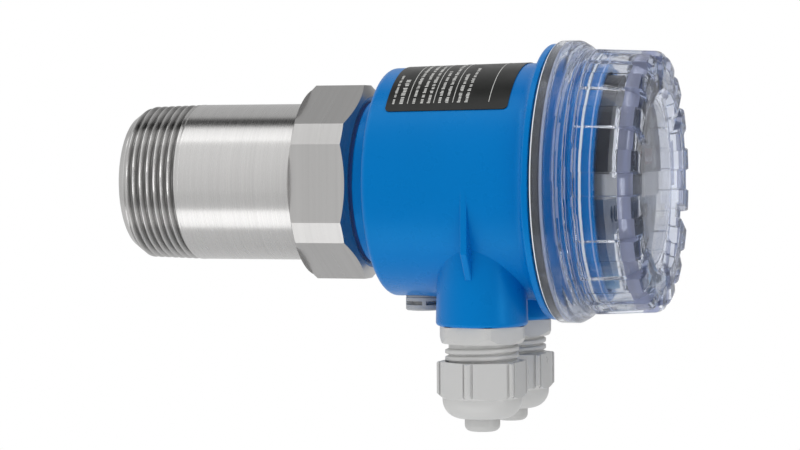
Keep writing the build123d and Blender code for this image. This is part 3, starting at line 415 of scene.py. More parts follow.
def turn_outward(mesh, weld=None):
    """Turn all faces outward, once points that coincide are welded, such as a row shrunk onto the axis."""
    work = bmesh.new()
    work.from_mesh(mesh)
    if weld is not None:
        bmesh.ops.remove_doubles(work, verts=work.verts, dist=weld)
        bmesh.ops.dissolve_degenerate(work, edges=work.edges, dist=weld)
    bmesh.ops.recalc_face_normals(work, faces=work.faces)
    work.to_mesh(mesh)
    work.free()


def link(name, mesh, body, material, sharp):
    """Object from a mesh, shaded smooth up to an angle in degrees, riding on a body."""
    mesh.shade_smooth()
    mesh.set_sharp_from_angle(angle=math.radians(sharp))
    piece = bpy.data.objects.new(name, mesh)
    bpy.context.scene.collection.objects.link(piece)
    piece.data.materials.append(material)
    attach(piece, body)
    return piece


# Materials


class Nodes:
    """Small helper that adds shader nodes to one material and links them."""

    def __init__(self, name):
        self.material = bpy.data.materials.new(name)
        self.material.use_nodes = True
        self.tree = self.material.node_tree
        self.shader = self.tree.nodes["Principled BSDF"]

    def add(self, kind, **settings):
        return add(self.tree, kind, **settings)

    def link(self, source, target):
        self.tree.links.new(source, target)

    def set(self, **values):
        for key, value in values.items():
            self.shader.inputs[key.replace("_", " ")].default_value = value

    def coords(self):
        return self.add("ShaderNodeTexCoord").outputs["Object"]

    def places(self):
        """Places along the part's X, Y and Z axes, in metres."""
        split = self.add("ShaderNodeSeparateXYZ")
        self.link(self.coords(), split.inputs[0])
        return split.outputs

    def math(self, operation, *values):
        node = self.add("ShaderNodeMath", operation=operation)
        for index, value in enumerate(values):
            if isinstance(value, (int, float)):
                node.inputs[index].default_value = value
            else:
                self.link(value, node.inputs[index])
        return node.outputs[0]

    def noise(self, scale, detail, rough=0.5, stretch=None):
        """Noise value over the object's own coordinates, in waves per metre, stretched along an axis."""
        source = self.coords()
        if stretch is not None:
            mapping = self.add("ShaderNodeMapping")
            mapping.inputs["Scale"].default_value = stretch
            self.link(source, mapping.inputs["Vector"])
            source = mapping.outputs["Vector"]
        node = self.add("ShaderNodeTexNoise")
        node.inputs["Scale"].default_value = scale
        node.inputs["Detail"].default_value = detail
        node.inputs["Roughness"].default_value = rough
        self.link(source, node.inputs["Vector"])
        return node.outputs["Fac"]

    def ramp(self, source, low, high, start=0.3, end=0.7):
        """Value that runs from low to high as the source runs from start to end."""
        node = self.add("ShaderNodeMapRange")
        for key, value in (("From Min", start), ("From Max", end), ("To Min", low), ("To Max", high)):
            node.inputs[key].default_value = value
        self.link(source, node.inputs["Value"])
        return node.outputs["Result"]

    def mix(self, source, first, second):
        """Colour between two colours by the source."""
        node = self.add("ShaderNodeMix", data_type="RGBA")
        node.inputs[COLOUR_A].default_value = (*first, 1)
        node.inputs[COLOUR_B].default_value = (*second, 1)
        self.link(source, node.inputs[0])
        return node.outputs[COLOUR_RESULT]

    def along(self, axis, stops):
        """Colour that runs through stops of place and display colour along one axis of the part."""
        first, last = stops[0][0], stops[-1][0]
        place = self.places()[axis]
        ramp = self.add("ShaderNodeValToRGB")
        ramp.color_ramp.elements[0].color = (*shade(*stops[0][1]), 1)
        ramp.color_ramp.elements[1].color = (*shade(*stops[-1][1]), 1)
        for station, colour in stops[1:-1]:
            ramp.color_ramp.elements.new((station - first) / (last - first)).color = (*shade(*colour), 1)
        self.link(self.ramp(place, 0, 1, start=first, end=last), ramp.inputs[0])
        return ramp.outputs[0]

    def painted_groove_shade(self, colour, depth, darkest, end):
        """Painted shade: colour that darkens with the depth below the tapered crest and its chamfer, ahead
        of a station.
        """
        along, across, height = self.places()
        squares = self.math("ADD", self.math("POWER", across, 2.0), self.math("POWER", height, 2.0))
        radius = self.math("SQRT", squares)
        crest = self.math("MULTIPLY_ADD", along, TAPER, GAUGE_RADIUS * MM)
        tip = self.math("MULTIPLY_ADD", along, TIP_SLOPE, (TIP_RADIUS + GAUGE * TIP_SLOPE) * MM)
        crest = self.math("MINIMUM", crest, tip)
        below = self.math("DIVIDE", self.math("SUBTRACT", crest, radius), depth * MM)
        ahead = self.math("LESS_THAN", along, (end - GAUGE) * MM)
        share = self.add("ShaderNodeClamp")
        self.link(self.math("MULTIPLY", below, ahead), share.inputs[0])
        node = self.add("ShaderNodeMix", data_type="RGBA", blend_type="MULTIPLY")
        self.link(share.outputs[0], node.inputs[0])
        self.link(colour, node.inputs[COLOUR_A])
        node.inputs[COLOUR_B].default_value = (darkest, darkest, darkest, 1)
        return node.outputs[COLOUR_RESULT]

    def bump(self, source, strength, height):
        node = self.add("ShaderNodeBump")
        node.inputs["Strength"].default_value = strength
        node.inputs["Distance"].default_value = height
        self.link(source, node.inputs["Height"])
        return node.outputs["Normal"]

    def uneven_gloss(self, rough):
        """Roughness that strays a little to both sides of its value."""
        waves = self.noise(GLOSS_WAVES, detail=3)
        level = self.ramp(waves, rough - GLOSS_SPREAD, rough + GLOSS_SPREAD)
        self.link(level, self.shader.inputs["Roughness"])


def add(tree, kind, **settings):
    node = tree.nodes.new(kind)
    for key, value in settings.items():
        setattr(node, key, value)
    return node


def shade(red, green, blue):
    """Linear colour from a display colour of 0 to 255."""
    def linear(value):
        value /= 255
        return value / 12.92 if value <= 0.04045 else ((value + 0.055) / 1.055) ** 2.4
    return (linear(red), linear(green), linear(blue))


def around(colour, darker, lighter):
    """A darker and a lighter tone of a colour."""
    dark = tuple(channel * darker for channel in colour)
    light = tuple(min(channel * lighter, 1) for channel in colour)
    return dark, light


def plastic(name, colour, spread=0.06, rough=0.4, grain=0.2, specular=0.5, coat=0.0, tint=(1, 1, 1)):
    """Moulded plastic with slight colour change, uneven gloss and a fine grain."""
    kit = Nodes(name)
    tone = kit.ramp(kit.noise(BROAD_WAVES, detail=2), 0, 1)
    kit.link(kit.mix(tone, *around(colour, 1 - spread, 1 + spread)), kit.shader.inputs["Base Color"])
    kit.uneven_gloss(rough)
    kit.link(kit.bump(kit.noise(GRAIN_WAVES, detail=2), grain, GRAIN_HEIGHT), kit.shader.inputs["Normal"])
    kit.set(Specular_IOR_Level=specular, Specular_Tint=(*tint, 1), Coat_Weight=coat, Coat_Roughness=0.12)
    return kit.material


def painted_light_plastic(name, axis, stops, rough=0.4, specular=0.5):
    """Moulded plastic with painted light and shade: its colour runs along one axis, as the light inside it
    does.
    """
    kit = Nodes(name)
    kit.link(kit.along(axis, stops), kit.shader.inputs["Base Color"])
    kit.uneven_gloss(rough)
    kit.set(Specular_IOR_Level=specular)
    return kit.material


def turned_steel(name, colour, rough=0.24, anisotropy=0.6, groove_shade=None):
    """Steel turned in a lathe, with fine rings round the axis and painted shade in the grooves of its
    thread.
    """
    kit = Nodes(name)
    rings = kit.noise(1.0, detail=4, rough=0.6, stretch=RING_WAVES)
    tone = kit.noise(1.0, detail=3, stretch=TONE_WAVES)
    finish = kit.mix(kit.ramp(tone, 0, 1), *around(colour, *TURNED_TONES))
    # Painted shade darkens the grooves of a thread
    if groove_shade is not None:
        finish = kit.painted_groove_shade(finish, **groove_shade)
    kit.link(finish, kit.shader.inputs["Base Color"])
    gloss = kit.ramp(rings, rough - TURNED_SPREAD[0], rough + TURNED_SPREAD[1])
    kit.link(gloss, kit.shader.inputs["Roughness"])
    kit.link(kit.bump(rings, strength=0.06, height=RING_HEIGHT), kit.shader.inputs["Normal"])
    kit.set(Metallic=1.0, Anisotropic=anisotropy, Anisotropic_Rotation=0.25)
    tangent = kit.add("ShaderNodeTangent", direction_type="RADIAL", axis="X")
    kit.link(tangent.outputs["Tangent"], kit.shader.inputs["Tangent"])
    return kit.material


def rubber(name, colour):
    """Dull soft rubber with uneven tone."""
    kit = Nodes(name)
    tone = kit.ramp(kit.noise(RUBBER_TONE_WAVES, detail=3), 0, 1)
    kit.link(kit.mix(tone, *around(colour, *RUBBER_TONES)), kit.shader.inputs["Base Color"])
    grain = kit.noise(RUBBER_GRAIN_WAVES, detail=3)
    kit.link(kit.bump(grain, strength=0.2, height=RUBBER_GRAIN_HEIGHT), kit.shader.inputs["Normal"])
    kit.set(Roughness=0.7, Specular_IOR_Level=0.35)
    return kit.material


def clear_plastic(name, colour, rough=0.03, bend=1.4, body=1.0, clear=1.0, tint=None, density=0.0):
    """Clear moulded plastic, smoky in its thickness, that casts only a light shadow."""
    kit = Nodes(name)
    kit.set(Base_Color=(*colour, 1), Roughness=rough, IOR=bend, Transmission_Weight=clear)
    kit.set(Specular_Tint=(*CLEAR_GLOSS_TINT, 1))
    flow = kit.noise(FLOW_WAVES, detail=2)
    kit.link(kit.bump(flow, strength=0.05, height=FLOW_HEIGHT), kit.shader.inputs["Normal"])
    shadow = kit.add("ShaderNodeLightPath").outputs["Is Shadow Ray"]
    kit.link(kit.ramp(shadow, body, SHADOW_ALPHA, start=0, end=1), kit.shader.inputs["Alpha"])
    if tint is not None:
        smoke = kit.add("ShaderNodeVolumeAbsorption")
        smoke.inputs["Color"].default_value = (*tint, 1)
        smoke.inputs["Density"].default_value = density
        kit.link(smoke.outputs["Volume"], kit.tree.nodes["Material Output"].inputs["Volume"])
    return kit.material


# Painted shade in the thread's grooves: the colour darkens with depth below the crest, down to half at 1.2
# mm, up to 0.6 mm before the thread's end
STEEL = turned_steel(
    "turned_steel", shade(203, 202, 201), rough=0.27, anisotropy=0.85,
    groove_shade={"depth": 1.2, "darkest": 0.5, "end": THREAD_END - 0.6},
)
HEX_STEEL = turned_steel("milled_steel", shade(187, 186, 185), rough=0.3, anisotropy=0.3)
BLUE = plastic(
    "housing_blue_plastic", shade(0, 117, 196), spread=0.04, rough=0.3, specular=0.4, tint=(0.1, 0.7, 1.0),
)
GREY = plastic("gland_grey_plastic", shade(202, 202, 201), spread=0.03, rough=0.32)
PLUG_GREY = plastic("plug_grey_plastic", shade(196, 196, 195), spread=0.03, rough=0.35)
VENT_GREY = plastic("vent_grey_plastic", shade(176, 178, 181), spread=0.05, rough=0.4)
VENT_RING = plastic("vent_ring_plastic", shade(150, 153, 157), spread=0.05, rough=0.5)
LABEL = plastic("nameplate_film", shade(22, 23, 21), spread=0.08, rough=0.35, grain=0.1, specular=0.35)
PRINT = plastic("print_white", shade(206, 206, 203), spread=0.02, rough=0.5, grain=0.0)
DARK = plastic("module_dark_plastic", shade(14, 14, 15), spread=0.08, rough=0.4, specular=0.3)
# Painted shade: dark grey at the back, up to about station 155, and light grey from station 156 on, for the
# bridge and the board posts
BRIDGE_GREY_PAINTED_SHADE = painted_light_plastic("bridge_plastic_painted_shade", "X", (
    (0.141, (90, 94, 98)), (0.1425, (100, 104, 108)), (0.1436, (172, 174, 176)), (0.146, (168, 170, 172)),
))
# Painted light and shade: darkest a little below the top, lighter downwards, and pale with a painted
# reflection at the bottom edge
GUARD_BLUE_PAINTED_LIGHT = painted_light_plastic("guard_blue_plastic_painted_light", "Z", (
    (-0.0313, (150, 205, 235)), (-0.0295, (70, 150, 200)), (-0.025, (8, 92, 145)), (-0.018, (0, 58, 102)),
    (-0.012, (0, 40, 76)), (-0.0044, (0, 56, 92)),
), rough=0.35)
TERMINAL = plastic("terminal_grey_plastic", shade(140, 146, 150), spread=0.04, rough=0.5)
BOARD = plastic("board_green", shade(20, 92, 48), spread=0.1, rough=0.35, coat=0.4)
SWITCH_RED = plastic("switch_red_plastic", shade(150, 24, 18), spread=0.05, rough=0.35)
BUTTON = plastic("button_grey_plastic", shade(130, 134, 140), spread=0.04, rough=0.5)
WHITE = plastic("slider_white_plastic", shade(225, 225, 220), spread=0.02, rough=0.45)
PTFE = plastic("window_ptfe", shade(236, 236, 230), spread=0.02, rough=0.5)
RUBBER = rubber("black_rubber", shade(26, 26, 26))
NAVY_SEAL = rubber("neck_seal_rubber", shade(8, 62, 130))
# Painted shade: the seal runs from grey at its back to dark slate at its front end, from about station 138.6
SEAL_PAINTED_SHADE = painted_light_plastic("cover_seal_rubber", "X", (
    (0.1227, (110, 108, 106)), (0.1242, (94, 94, 94)), (0.1255, (84, 86, 88)), (0.1259, (44, 48, 66)),
    (0.1264, (40, 46, 66)),
), rough=0.6, specular=0.3)
CHROME = turned_steel("plated_steel", shade(214, 212, 206), rough=0.2, anisotropy=0.2)
BRASS = turned_steel("plated_brass", shade(196, 178, 126), rough=0.3, anisotropy=0.3)
SMOKE = {"bend": 1.4, "tint": (0.06, 0.18, 0.46), "density": 26.0}
CLEAR = clear_plastic("clear_polycarbonate", (0.97, 0.98, 1.0), body=0.85, **SMOKE)
# Partly matt, whitish copies of the clear plastic for painted highlights: soft lines on the thread flanks
# and some edges, bright lines on the back edge and the end of the crests
PAINTED_SOFT_HIGHLIGHT = clear_plastic("clear_soft_painted_highlight", (0.72, 0.8, 1.0), rough=0.4, body=0.9, clear=0.5, **SMOKE)
PAINTED_BRIGHT_HIGHLIGHT = clear_plastic("clear_bright_painted_highlight", (0.93, 0.97, 1.0), rough=0.4, clear=0.05, **SMOKE)
# Duller, darker lilac copy of the clear plastic: painted shade on the thick front wall
PAINTED_THICK_SHADE = clear_plastic("clear_thick_wall_painted_shade", (0.5, 0.54, 0.74), rough=0.2, body=0.9, clear=0.6, **SMOKE)
LENS = clear_plastic("lamp_lens", (0.85, 0.92, 0.85), rough=0.12)

# Finish of each node whose name starts like this
FINISHES = {
    "antenna_window": PTFE,
    "window_seal": RUBBER,
    "horn_antenna": CHROME,
    "microwave_module": CHROME,
    "neck_seal": NAVY_SEAL,
    "housing": BLUE,
    "lock_nut": BRASS,
    "nameplate": LABEL,
    "vent_plug": VENT_GREY,
    "vent_seal": VENT_RING,
    "cover_seal": SEAL_PAINTED_SHADE,
    "mounting_bridge": BRIDGE_GREY_PAINTED_SHADE,
    "control_module": DARK,
    "signal_board": BOARD,
    "board_posts": BRIDGE_GREY_PAINTED_SHADE,
    "power_board": BOARD,
    "terminal_guard": GUARD_BLUE_PAINTED_LIGHT,
    "terminal_block": TERMINAL,
    "terminal_screws": CHROME,
    "insert_screws": CHROME,
    "lamp_bar": LENS,
    "dip_switch": SWITCH_RED,
    "dip_slider": WHITE,
    "push_button": BUTTON,
    "gland_body": GREY,
    "gland_nut": GREY,
    "blind_plug": PLUG_GREY,
    "gland_ring": RUBBER,
    "gland_sleeve": RUBBER,
}


def finish_nodes():
    for name, node in nodes.items():
        for start, finish in FINISHES.items():
            if name.startswith(start):
                node.data.materials.clear()
                node.data.materials.append(finish)


# Process connection


def depth_share(phase):
    """Depth share of a rounded 55 degree thread, 0 at the crest and 1 at the root."""
    share = 1 - abs((phase % 1.0) - 0.5) * 2
    edge = THREAD_ROUNDING
    if share < edge:
        depth = share**2 / (2 * edge)
    elif share > 1 - edge:
        depth = 1 - edge - (1 - share) ** 2 / (2 * edge)
    else:
        depth = share - edge / 2
    return depth / (1 - edge)


def thread_radius(station, angle):
    """Radius of the tapered thread, which starts in a chamfer and runs out towards the shank."""
    crest = GAUGE_RADIUS + (station - GAUGE) * TAPER
    fade = 1 - smoothstep(*RUN_OUT, station)
    radius = crest - THREAD_DEPTH * depth_share(thread_phase(station, angle, THREAD_PITCH)) * fade
    return min(radius, TIP_RADIUS + station * TIP_SLOPE)


def hexagon_radius(angle):
    """Distance to the hexagon's outline, which has narrow facets in place of its corners."""
    reaches = []
    for index in range(HEX_FACETS):
        reach = HEX_FLAT if index % 2 == 0 else HEX_CORNER
        facing = math.cos(angle - index * FACET_TURN)
        if facing > 0:
            reaches.append(reach / facing)
    return min(reaches)


def hexagon_angles():
    """Column angles that include each edge of the hexagon exactly."""
    gap = math.atan2(HEX_CORNER - HEX_FLAT * math.cos(FACET_TURN), HEX_FLAT * math.sin(FACET_TURN))
    edges = []
    for index in range(0, HEX_FACETS, 2):
        edges += [index * FACET_TURN + gap, index * FACET_TURN - gap]
    edges = sorted(angle % FULL_TURN for angle in edges)
    angles = []
    for first, second in zip(edges, edges[1:] + [edges[0] + FULL_TURN]):
        count = max(2, round((second - first) / FULL_TURN * ROUND_STEPS))
        for step in range(count):
            angles.append(first + (second - first) * step / count)
    return angles


def hexagon_rows(angles):
    """Outline at both ends of the hexagon, which follows the cones of its turned chamfers."""
    front = []
    rear = []
    for angle in angles:
        radius = hexagon_radius(angle)
        front.append(at(HEX_START + (radius - HEX_FRONT[0]) * HEX_FRONT[1], radius, angle))
        rear.append(at(HEX_END - (radius - HEX_REAR[0]) * HEX_REAR[1], radius, angle))
    return [front, rear]


def process_connection():
    angles = hexagon_angles()
    rows = turned_rows([
        (HORN_SEAT_END, MODULE_BORE),
        (HORN_SEAT_END, HORN_SEAT),
        (WINDOW_SEAT_DEPTH, HORN_SEAT),
        (WINDOW_SEAT_DEPTH, WINDOW_SEAT),
        (0.0, WINDOW_SEAT),
        (0.0, TIP_RADIUS - TIP_EDGE),
    ], angles)
    for step in range(THREAD_STEPS + 1):
        station = THREAD_START + (THREAD_END - THREAD_START) * step / THREAD_STEPS
        rows.append([at(station, thread_radius(station, angle), angle) for angle in angles])
    rows += turned_rows([
        (SHANK_START, SHANK_RADIUS),
        (HEX_START, SHANK_RADIUS),
        (HEX_START, HEX_FRONT[0]),
    ], angles)
    rows += hexagon_rows(angles)
    rows += turned_rows([
        (HEX_END, HEX_REAR[0]),
        (HEX_END, SPIGOT_RADIUS),
        (SPIGOT_END, SPIGOT_RADIUS),
        (SPIGOT_END, MODULE_BORE),
    ], angles)
    mesh = ring_mesh("process_connection_turned", rows)
    turn_outward(mesh, WELD_METRES)
    piece = link("process_connection_turned", mesh, "sensor", STEEL, sharp=24)
    piece.data.materials.append(HEX_STEEL)
    for face in piece.data.polygons:
        on_hexagon = within((HEX_START - SLACK, HEX_END + SLACK), station_of(face.center))
        if on_hexagon and radius_of(face.center) > SHANK_RADIUS + SLACK:
            face.material_index = len(piece.data.materials) - 1
    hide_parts("process_connection")


# Thread ridges


def ridge(name, place, body, material, slot, root, crest, pitch, start, end, half_foot, half_top):
    """Helical ridge with sloped flanks that fades in and out at its ends."""
    turns = (end - start - 2 * half_foot) / pitch
    count = round(turns * RIDGE_STEPS)
    points = []
    for step in range(count + 1):
        share = step / count
        angle = FULL_TURN * turns * share
        middle = start + half_foot + pitch * turns * share
        fade = smoothstep(0, RIDGE_FADE, share) * smoothstep(0, RIDGE_FADE, 1 - share)
        high = root + (crest - root) * fade
        flank = [
            (half_foot, root - RIDGE_SINK),
            (half_foot, root),
            (half_top * RIDGE_EDGE_REACH, high - RIDGE_EDGE_DROP * fade),
            (half_top * RIDGE_FLAT_REACH, high),
        ]
        outline = [(-offset, radius) for offset, radius in flank] + flank[::-1]
        points += [place(middle + offset, radius, angle) for offset, radius in outline]
    side = len(outline)
    faces = []
    for step in range(count):
        first = step * side
        for edge in range(side):
            after = (edge + 1) % side
            faces.append((first + edge, first + after, first + side + after, first + side + edge))
    faces.append(tuple(range(side)))
    faces.append(tuple(reversed(range(count * side, count * side + side))))
    mesh = bpy.data.meshes.new(name)
    mesh.from_pydata(points, [], faces)
    turn_outward(mesh)
    link(name, mesh, body, material, sharp=50)


def down(y):
    """Placing rule for a thread about a gland's own axis, whose stations are heights."""
    def place(height, radius, angle):
        x = GLAND_STATION - GAUGE + radius * math.cos(angle)
        return Vector((x * MM, (y + radius * math.sin(angle)) * MM, height * MM))
    return place


def thread_ridges():
    ridge("collar_thread", at, "sensor", BLUE, "housing_blue", **COLLAR_THREAD)
    for name, side in (("near", -1), ("far", 1)):
        place = down(side * GLAND_SPREAD)
        ridge(f"gland_thread_{name}", place, "sensor", GREY, "gland_grey", **GLAND_THREAD)


# Clear screw cover


def notch_share(angle):
    """How far a column lies in a recess between lugs, and whether that recess is a deep notch."""
    step = FULL_TURN / LUG_COUNT
    turn = (angle - NOTCH_PHASE) / step
    index = round(turn)
    offset = abs(turn - index) * step
    share = 1 - smoothstep(LUG_HALF - LUG_FLANK / 2, LUG_HALF + LUG_FLANK / 2, offset)
    return share, index % NOTCH_EVERY == 0


def pad_share(angle):
    """How far a column lies on a pad behind a deep notch."""
    step = FULL_TURN * NOTCH_EVERY / LUG_COUNT
    turn = (angle - NOTCH_PHASE) / step
    offset = abs(turn - round(turn)) * step
    return 1 - smoothstep(PAD_HALF - PAD_FLANK / 2, PAD_HALF + PAD_FLANK / 2, offset)


def cover_columns():
    """Column angles, dense at the flanks of the lugs and of the pads."""
    step = FULL_TURN / LUG_COUNT
    recess = [LUG_HALF * share for share in (0.0, 0.25, 0.5, 0.75)]
    flank = [LUG_HALF + share * LUG_FLANK / 2 for share in (-1, -0.6, -0.3, 0, 0.3, 0.6, 1)]
    lug = [LUG_HALF + (step / 2 - LUG_HALF) * share for share in (0.3, 0.55, 0.8)]
    pad = [PAD_HALF + share * PAD_FLANK for share in (-0.5, 0.0, 0.5)]
    angles = []
    for index in range(LUG_COUNT):
        centre = NOTCH_PHASE + index * step
        offsets = recess + flank + lug
        if index % NOTCH_EVERY == 0:
            offsets = offsets + pad
        for offset in offsets:
            angles += [centre + offset, centre - offset]
        angles.append(centre + step / 2)
    return sorted(set(round(angle % FULL_TURN, 9) for angle in angles))


def outside_rows(angles):
    """Common rim, then the front part, which differs on a lug, in a recess and in a deep notch."""
    rim = rounded(RIM_CORNERS)
    lug = resample(rounded(LUG_CORNERS, steps=12), OUTSIDE_POINTS)
    low = resample(rounded(RECESS_CORNERS, steps=8), OUTSIDE_POINTS)
    notch = resample(rounded(NOTCH_CORNERS, steps=8), OUTSIDE_POINTS)

    def choose(angle):
        share, deep = notch_share(angle)
        return lug, notch if deep else low, share

    return turned_rows(rim[:-1], angles) + blended_rows(angles, choose)


def pane_rows(angles):
    """Front face, cut down by the deep notches, and the pane that lies lower in its middle."""
    face = rounded(FACE_CORNERS, steps=4)
    cut = rounded(CUT_CORNERS, steps=4)

    def choose(angle):
        share, deep = notch_share(angle)
        return face[1:], cut[1:], share if deep else 0.0

    middle = [(PANE_STATION, radius) for radius in PANE_RINGS]
    return blended_rows(angles, choose) + turned_rows(middle, angles)


def inside_rows(angles):
    """Inner face and wall, with the pads that stand inwards behind the deep notches."""
    corner = rounded([(*INNER_FACE[-1], 0), INNER_CORNER, (*INNER_WALL[0], 0)])
    plain = [*INNER_FACE, *corner[1:-1], *INNER_WALL]
    raised = [*INNER_FACE, *PAD_PROFILE, *INNER_WALL]
    return blended_rows(angles, lambda angle: (plain, raised, pad_share(angle)))


def bore_rows(angles):
    """Bore with a low thread that fades in and out, and the pocket behind it."""
    rows = []
    for step in range(BORE_STEPS + 1):
        station = BORE_END - (BORE_END - BORE_START) * step / BORE_STEPS
        fade = smoothstep(*BORE_LEAD_IN, station) * (1 - smoothstep(*BORE_LEAD_OUT, station))
        row = []
        for angle in angles:
            wave = 0.5 + 0.5 * math.cos(FULL_TURN * thread_phase(station, angle, COLLAR_PITCH))
            row.append(at(station, BORE_RADIUS - BORE_RIDGE * fade * smoothstep(*BORE_WAVE, wave), angle))
        rows.append(row)
    pocket = rounded([*POCKET_CORNERS, (COVER_BACK, POCKET_RADIUS, 0)], steps=5)
    return rows + turned_rows(pocket[:-1], angles)


def cover_finish(station, radius, angle):
    """Which of the cover's four finishes shows at a place: the clear one, or a band of painted highlight or
    painted shade.
    """
    finish = CLEAR_FACE
    # Painted highlights: soft lines on the thread flanks and a bright line at the end of the crests
    if within((BORE_START, BORE_END), station) and radius < BORE_RADIUS + SLACK:
        phase = thread_phase(station, angle, COLLAR_PITCH) % 1.0
        if station < FLANK_END and any(low <= phase < high for low, high in FLANK_PHASES):
            finish = SOFT_HIGHLIGHT_FACE
        if within(CREST_LINE, station):
            finish = BRIGHT_HIGHLIGHT_FACE
    # Painted highlights on the back edge, the bore's edge and the pocket's corner
    if station < BACK_EDGE[0] and radius > BACK_EDGE[1]:
        finish = BRIGHT_HIGHLIGHT_FACE
    if within(BORE_EDGE, station) and within(BORE_EDGE_RADIUS, radius):
        finish = SOFT_HIGHLIGHT_FACE
    if within(POCKET_CORNER, station) and within((POCKET_CORNER_RADIUS, POCKET_RADIUS + SLACK), radius):
        finish = SOFT_HIGHLIGHT_FACE
    # Painted shade on the thick front wall
    if within(THICK_BAND, station) and radius > THICK_RADIUS:
        finish = THICK_SHADE_FACE
    return finish


def cover():
    angles = cover_columns()
    rows = outside_rows(angles) + pane_rows(angles) + inside_rows(angles) + bore_rows(angles)
    mesh = ring_mesh("cover_clear", rows)
    for row in range(len(rows) - 1):
        for column, angle in enumerate(angles):
            middle = (rows[row][column] + rows[row + 1][column]) / 2
            face = mesh.polygons[row * len(angles) + column]
            face.material_index = cover_finish(station_of(middle), radius_of(middle), angle)
    turn_outward(mesh, WELD_METRES)
    piece = link("cover_clear", mesh, "cover", CLEAR, sharp=40)
    # Materials of the painted highlight and painted shade bands, in the order of their faces
    for material in (PAINTED_SOFT_HIGHLIGHT, PAINTED_BRIGHT_HIGHLIGHT, PAINTED_THICK_SHADE):
        piece.data.materials.append(material)
    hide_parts("cover")


def cover_seal():
    """Rounded soft ring that lies behind the cover's rim."""
    back, front = SEAL_STATIONS
    path = [(back - SEAL_ROUNDING, SEAL_INNER_RADIUS), (back - SEAL_ROUNDING, SEAL_SHOULDER_RADIUS)]
    path += arc((back, SEAL_SHOULDER_RADIUS), SEAL_ROUNDING, 180, 90, SEAL_STEPS)
    path += arc((front, SEAL_SHOULDER_RADIUS), SEAL_ROUNDING, 90, 0, SEAL_STEPS)
    path.append((front + SEAL_ROUNDING, SEAL_INNER_RADIUS))
    angles = [FULL_TURN * step / ROUND_STEPS for step in range(ROUND_STEPS)]
    mesh = ring_mesh("cover_seal_round", turned_rows(path, angles))
    turn_outward(mesh, WELD_METRES)
    piece = link("cover_seal_round", mesh, "cover_ring", SEAL_PAINTED_SHADE, sharp=40)
    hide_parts("cover_seal")


# Rows of plain bars on the nameplate


def label_radius(station):
    """Radius of the nameplate's face on the tapered housing."""
    share = (station - BACK_STATION) / (FLANGE_BACK - BACK_STATION)
    return BACK_RADIUS + share * (BODY_END_RADIUS - BACK_RADIUS) + LABEL_THICKNESS


def add_patch(points, faces, start, end, low, high):
    """Thin raised patch on the nameplate between two stations and two angles."""
    count = max(1, round((high - low) / PATCH_STEP))
    first = len(points)
    corners = 4
    for step in range(count + 1):
        angle = math.pi - math.radians(low + (high - low) * step / count)
        for station in (start, end):
            for lift in (0.0, PRINT_HEIGHT):
                points.append(at(station, label_radius(station) + lift, angle))
    for step in range(count):
        here = first + step * corners
        there = here + corners
        faces.append((here + 1, here + 3, there + 3, there + 1))
        faces.append((here, there, there + 2, here + 2))
        faces.append((here, here + 1, there + 1, there))
        faces.append((here + 2, there + 2, there + 3, here + 3))
    last = first + count * corners
    faces.append((first, first + 2, first + 3, first + 1))
    faces.append((last, last + 1, last + 3, last + 2))


def nameplate_print():
    dice = random.Random(MARK_SEED)
    points = []
    faces = []
    for station in RULE_STATIONS:
        add_patch(points, faces, station - RULE_HALF, station + RULE_HALF, PRINT_START, PRINT_STOP)
    for station, tall, end in MARK_ROWS:
        angle = PRINT_START
        while angle < end:
            for _ in range(dice.randint(*MARKS_TOGETHER)):
                stop = angle + dice.uniform(*MARK_WIDTH) * tall
                top = tall * dice.choice(MARK_TOPS)
                if stop < end:
                    add_patch(points, faces, station - top, station + tall / 2, angle, stop)
                angle = stop + MARK_GAP * tall
            angle += dice.uniform(*GROUP_GAP)
    mesh = bpy.data.meshes.new("nameplate_print")
    mesh.from_pydata(points, [], faces)
    link("nameplate_print", mesh, "sensor", PRINT, sharp=30)


# Camera, surroundings, floor and lamps


def camera():
    forward = Vector((
        -math.sin(YAW) * math.cos(PITCH),
        math.cos(YAW) * math.cos(PITCH),
        math.sin(PITCH),
    ))
    level = Vector((math.cos(YAW), math.sin(YAW), 0.0))
    upright = level.cross(forward)
    right = level * math.cos(ROLL) + upright * math.sin(ROLL)
    up = upright * math.cos(ROLL) - level * math.sin(ROLL)
    turn = Matrix((right, up, -forward)).transposed()
    data = bpy.data.cameras.new("photo_camera")
    data.sensor_fit = "HORIZONTAL"
    data.sensor_width = SENSOR_WIDTH
    data.lens = FOCAL_PIXELS * SENSOR_WIDTH / IMAGE_WIDTH
    data.clip_start = CLIP_START
    data.clip_end = CLIP_END
    holder = bpy.data.objects.new("photo_camera", data)
    bpy.context.scene.collection.objects.link(holder)
    holder.matrix_world = Matrix.Translation(EYE) @ turn.to_4x4()
    bpy.context.scene.camera = holder


def largest(tree, *sources):
    """Largest of several values."""
    result = sources[0]
    for source in sources[1:]:
        node = add(tree, "ShaderNodeMath", operation="MAXIMUM")
        tree.links.new(result, node.inputs[0])
        tree.links.new(source, node.inputs[1])
        result = node.outputs[0]
    return result


def mix_shaders(tree, factor, first, second):
    node = add(tree, "ShaderNodeMixShader")
    tree.links.new(factor, node.inputs[0])
    tree.links.new(first, node.inputs[1])
    tree.links.new(second, node.inputs[2])
    return node.outputs[0]


def eased(tree, source, span, low=0, high=1):
    """Value that runs smoothly from low to high as the source runs through a span."""
    node = add(tree, "ShaderNodeMapRange", interpolation_type="SMOOTHSTEP")
    for key, value in (("From Min", span[0]), ("From Max", span[1]), ("To Min", low), ("To Max", high)):
        node.inputs[key].default_value = value
    tree.links.new(source, node.inputs["Value"])
    return node.outputs["Result"]


def times(tree, first, second):
    node = add(tree, "ShaderNodeMath", operation="MULTIPLY")
    tree.links.new(first, node.inputs[0])
    tree.links.new(second, node.inputs[1])
    return node.outputs[0]


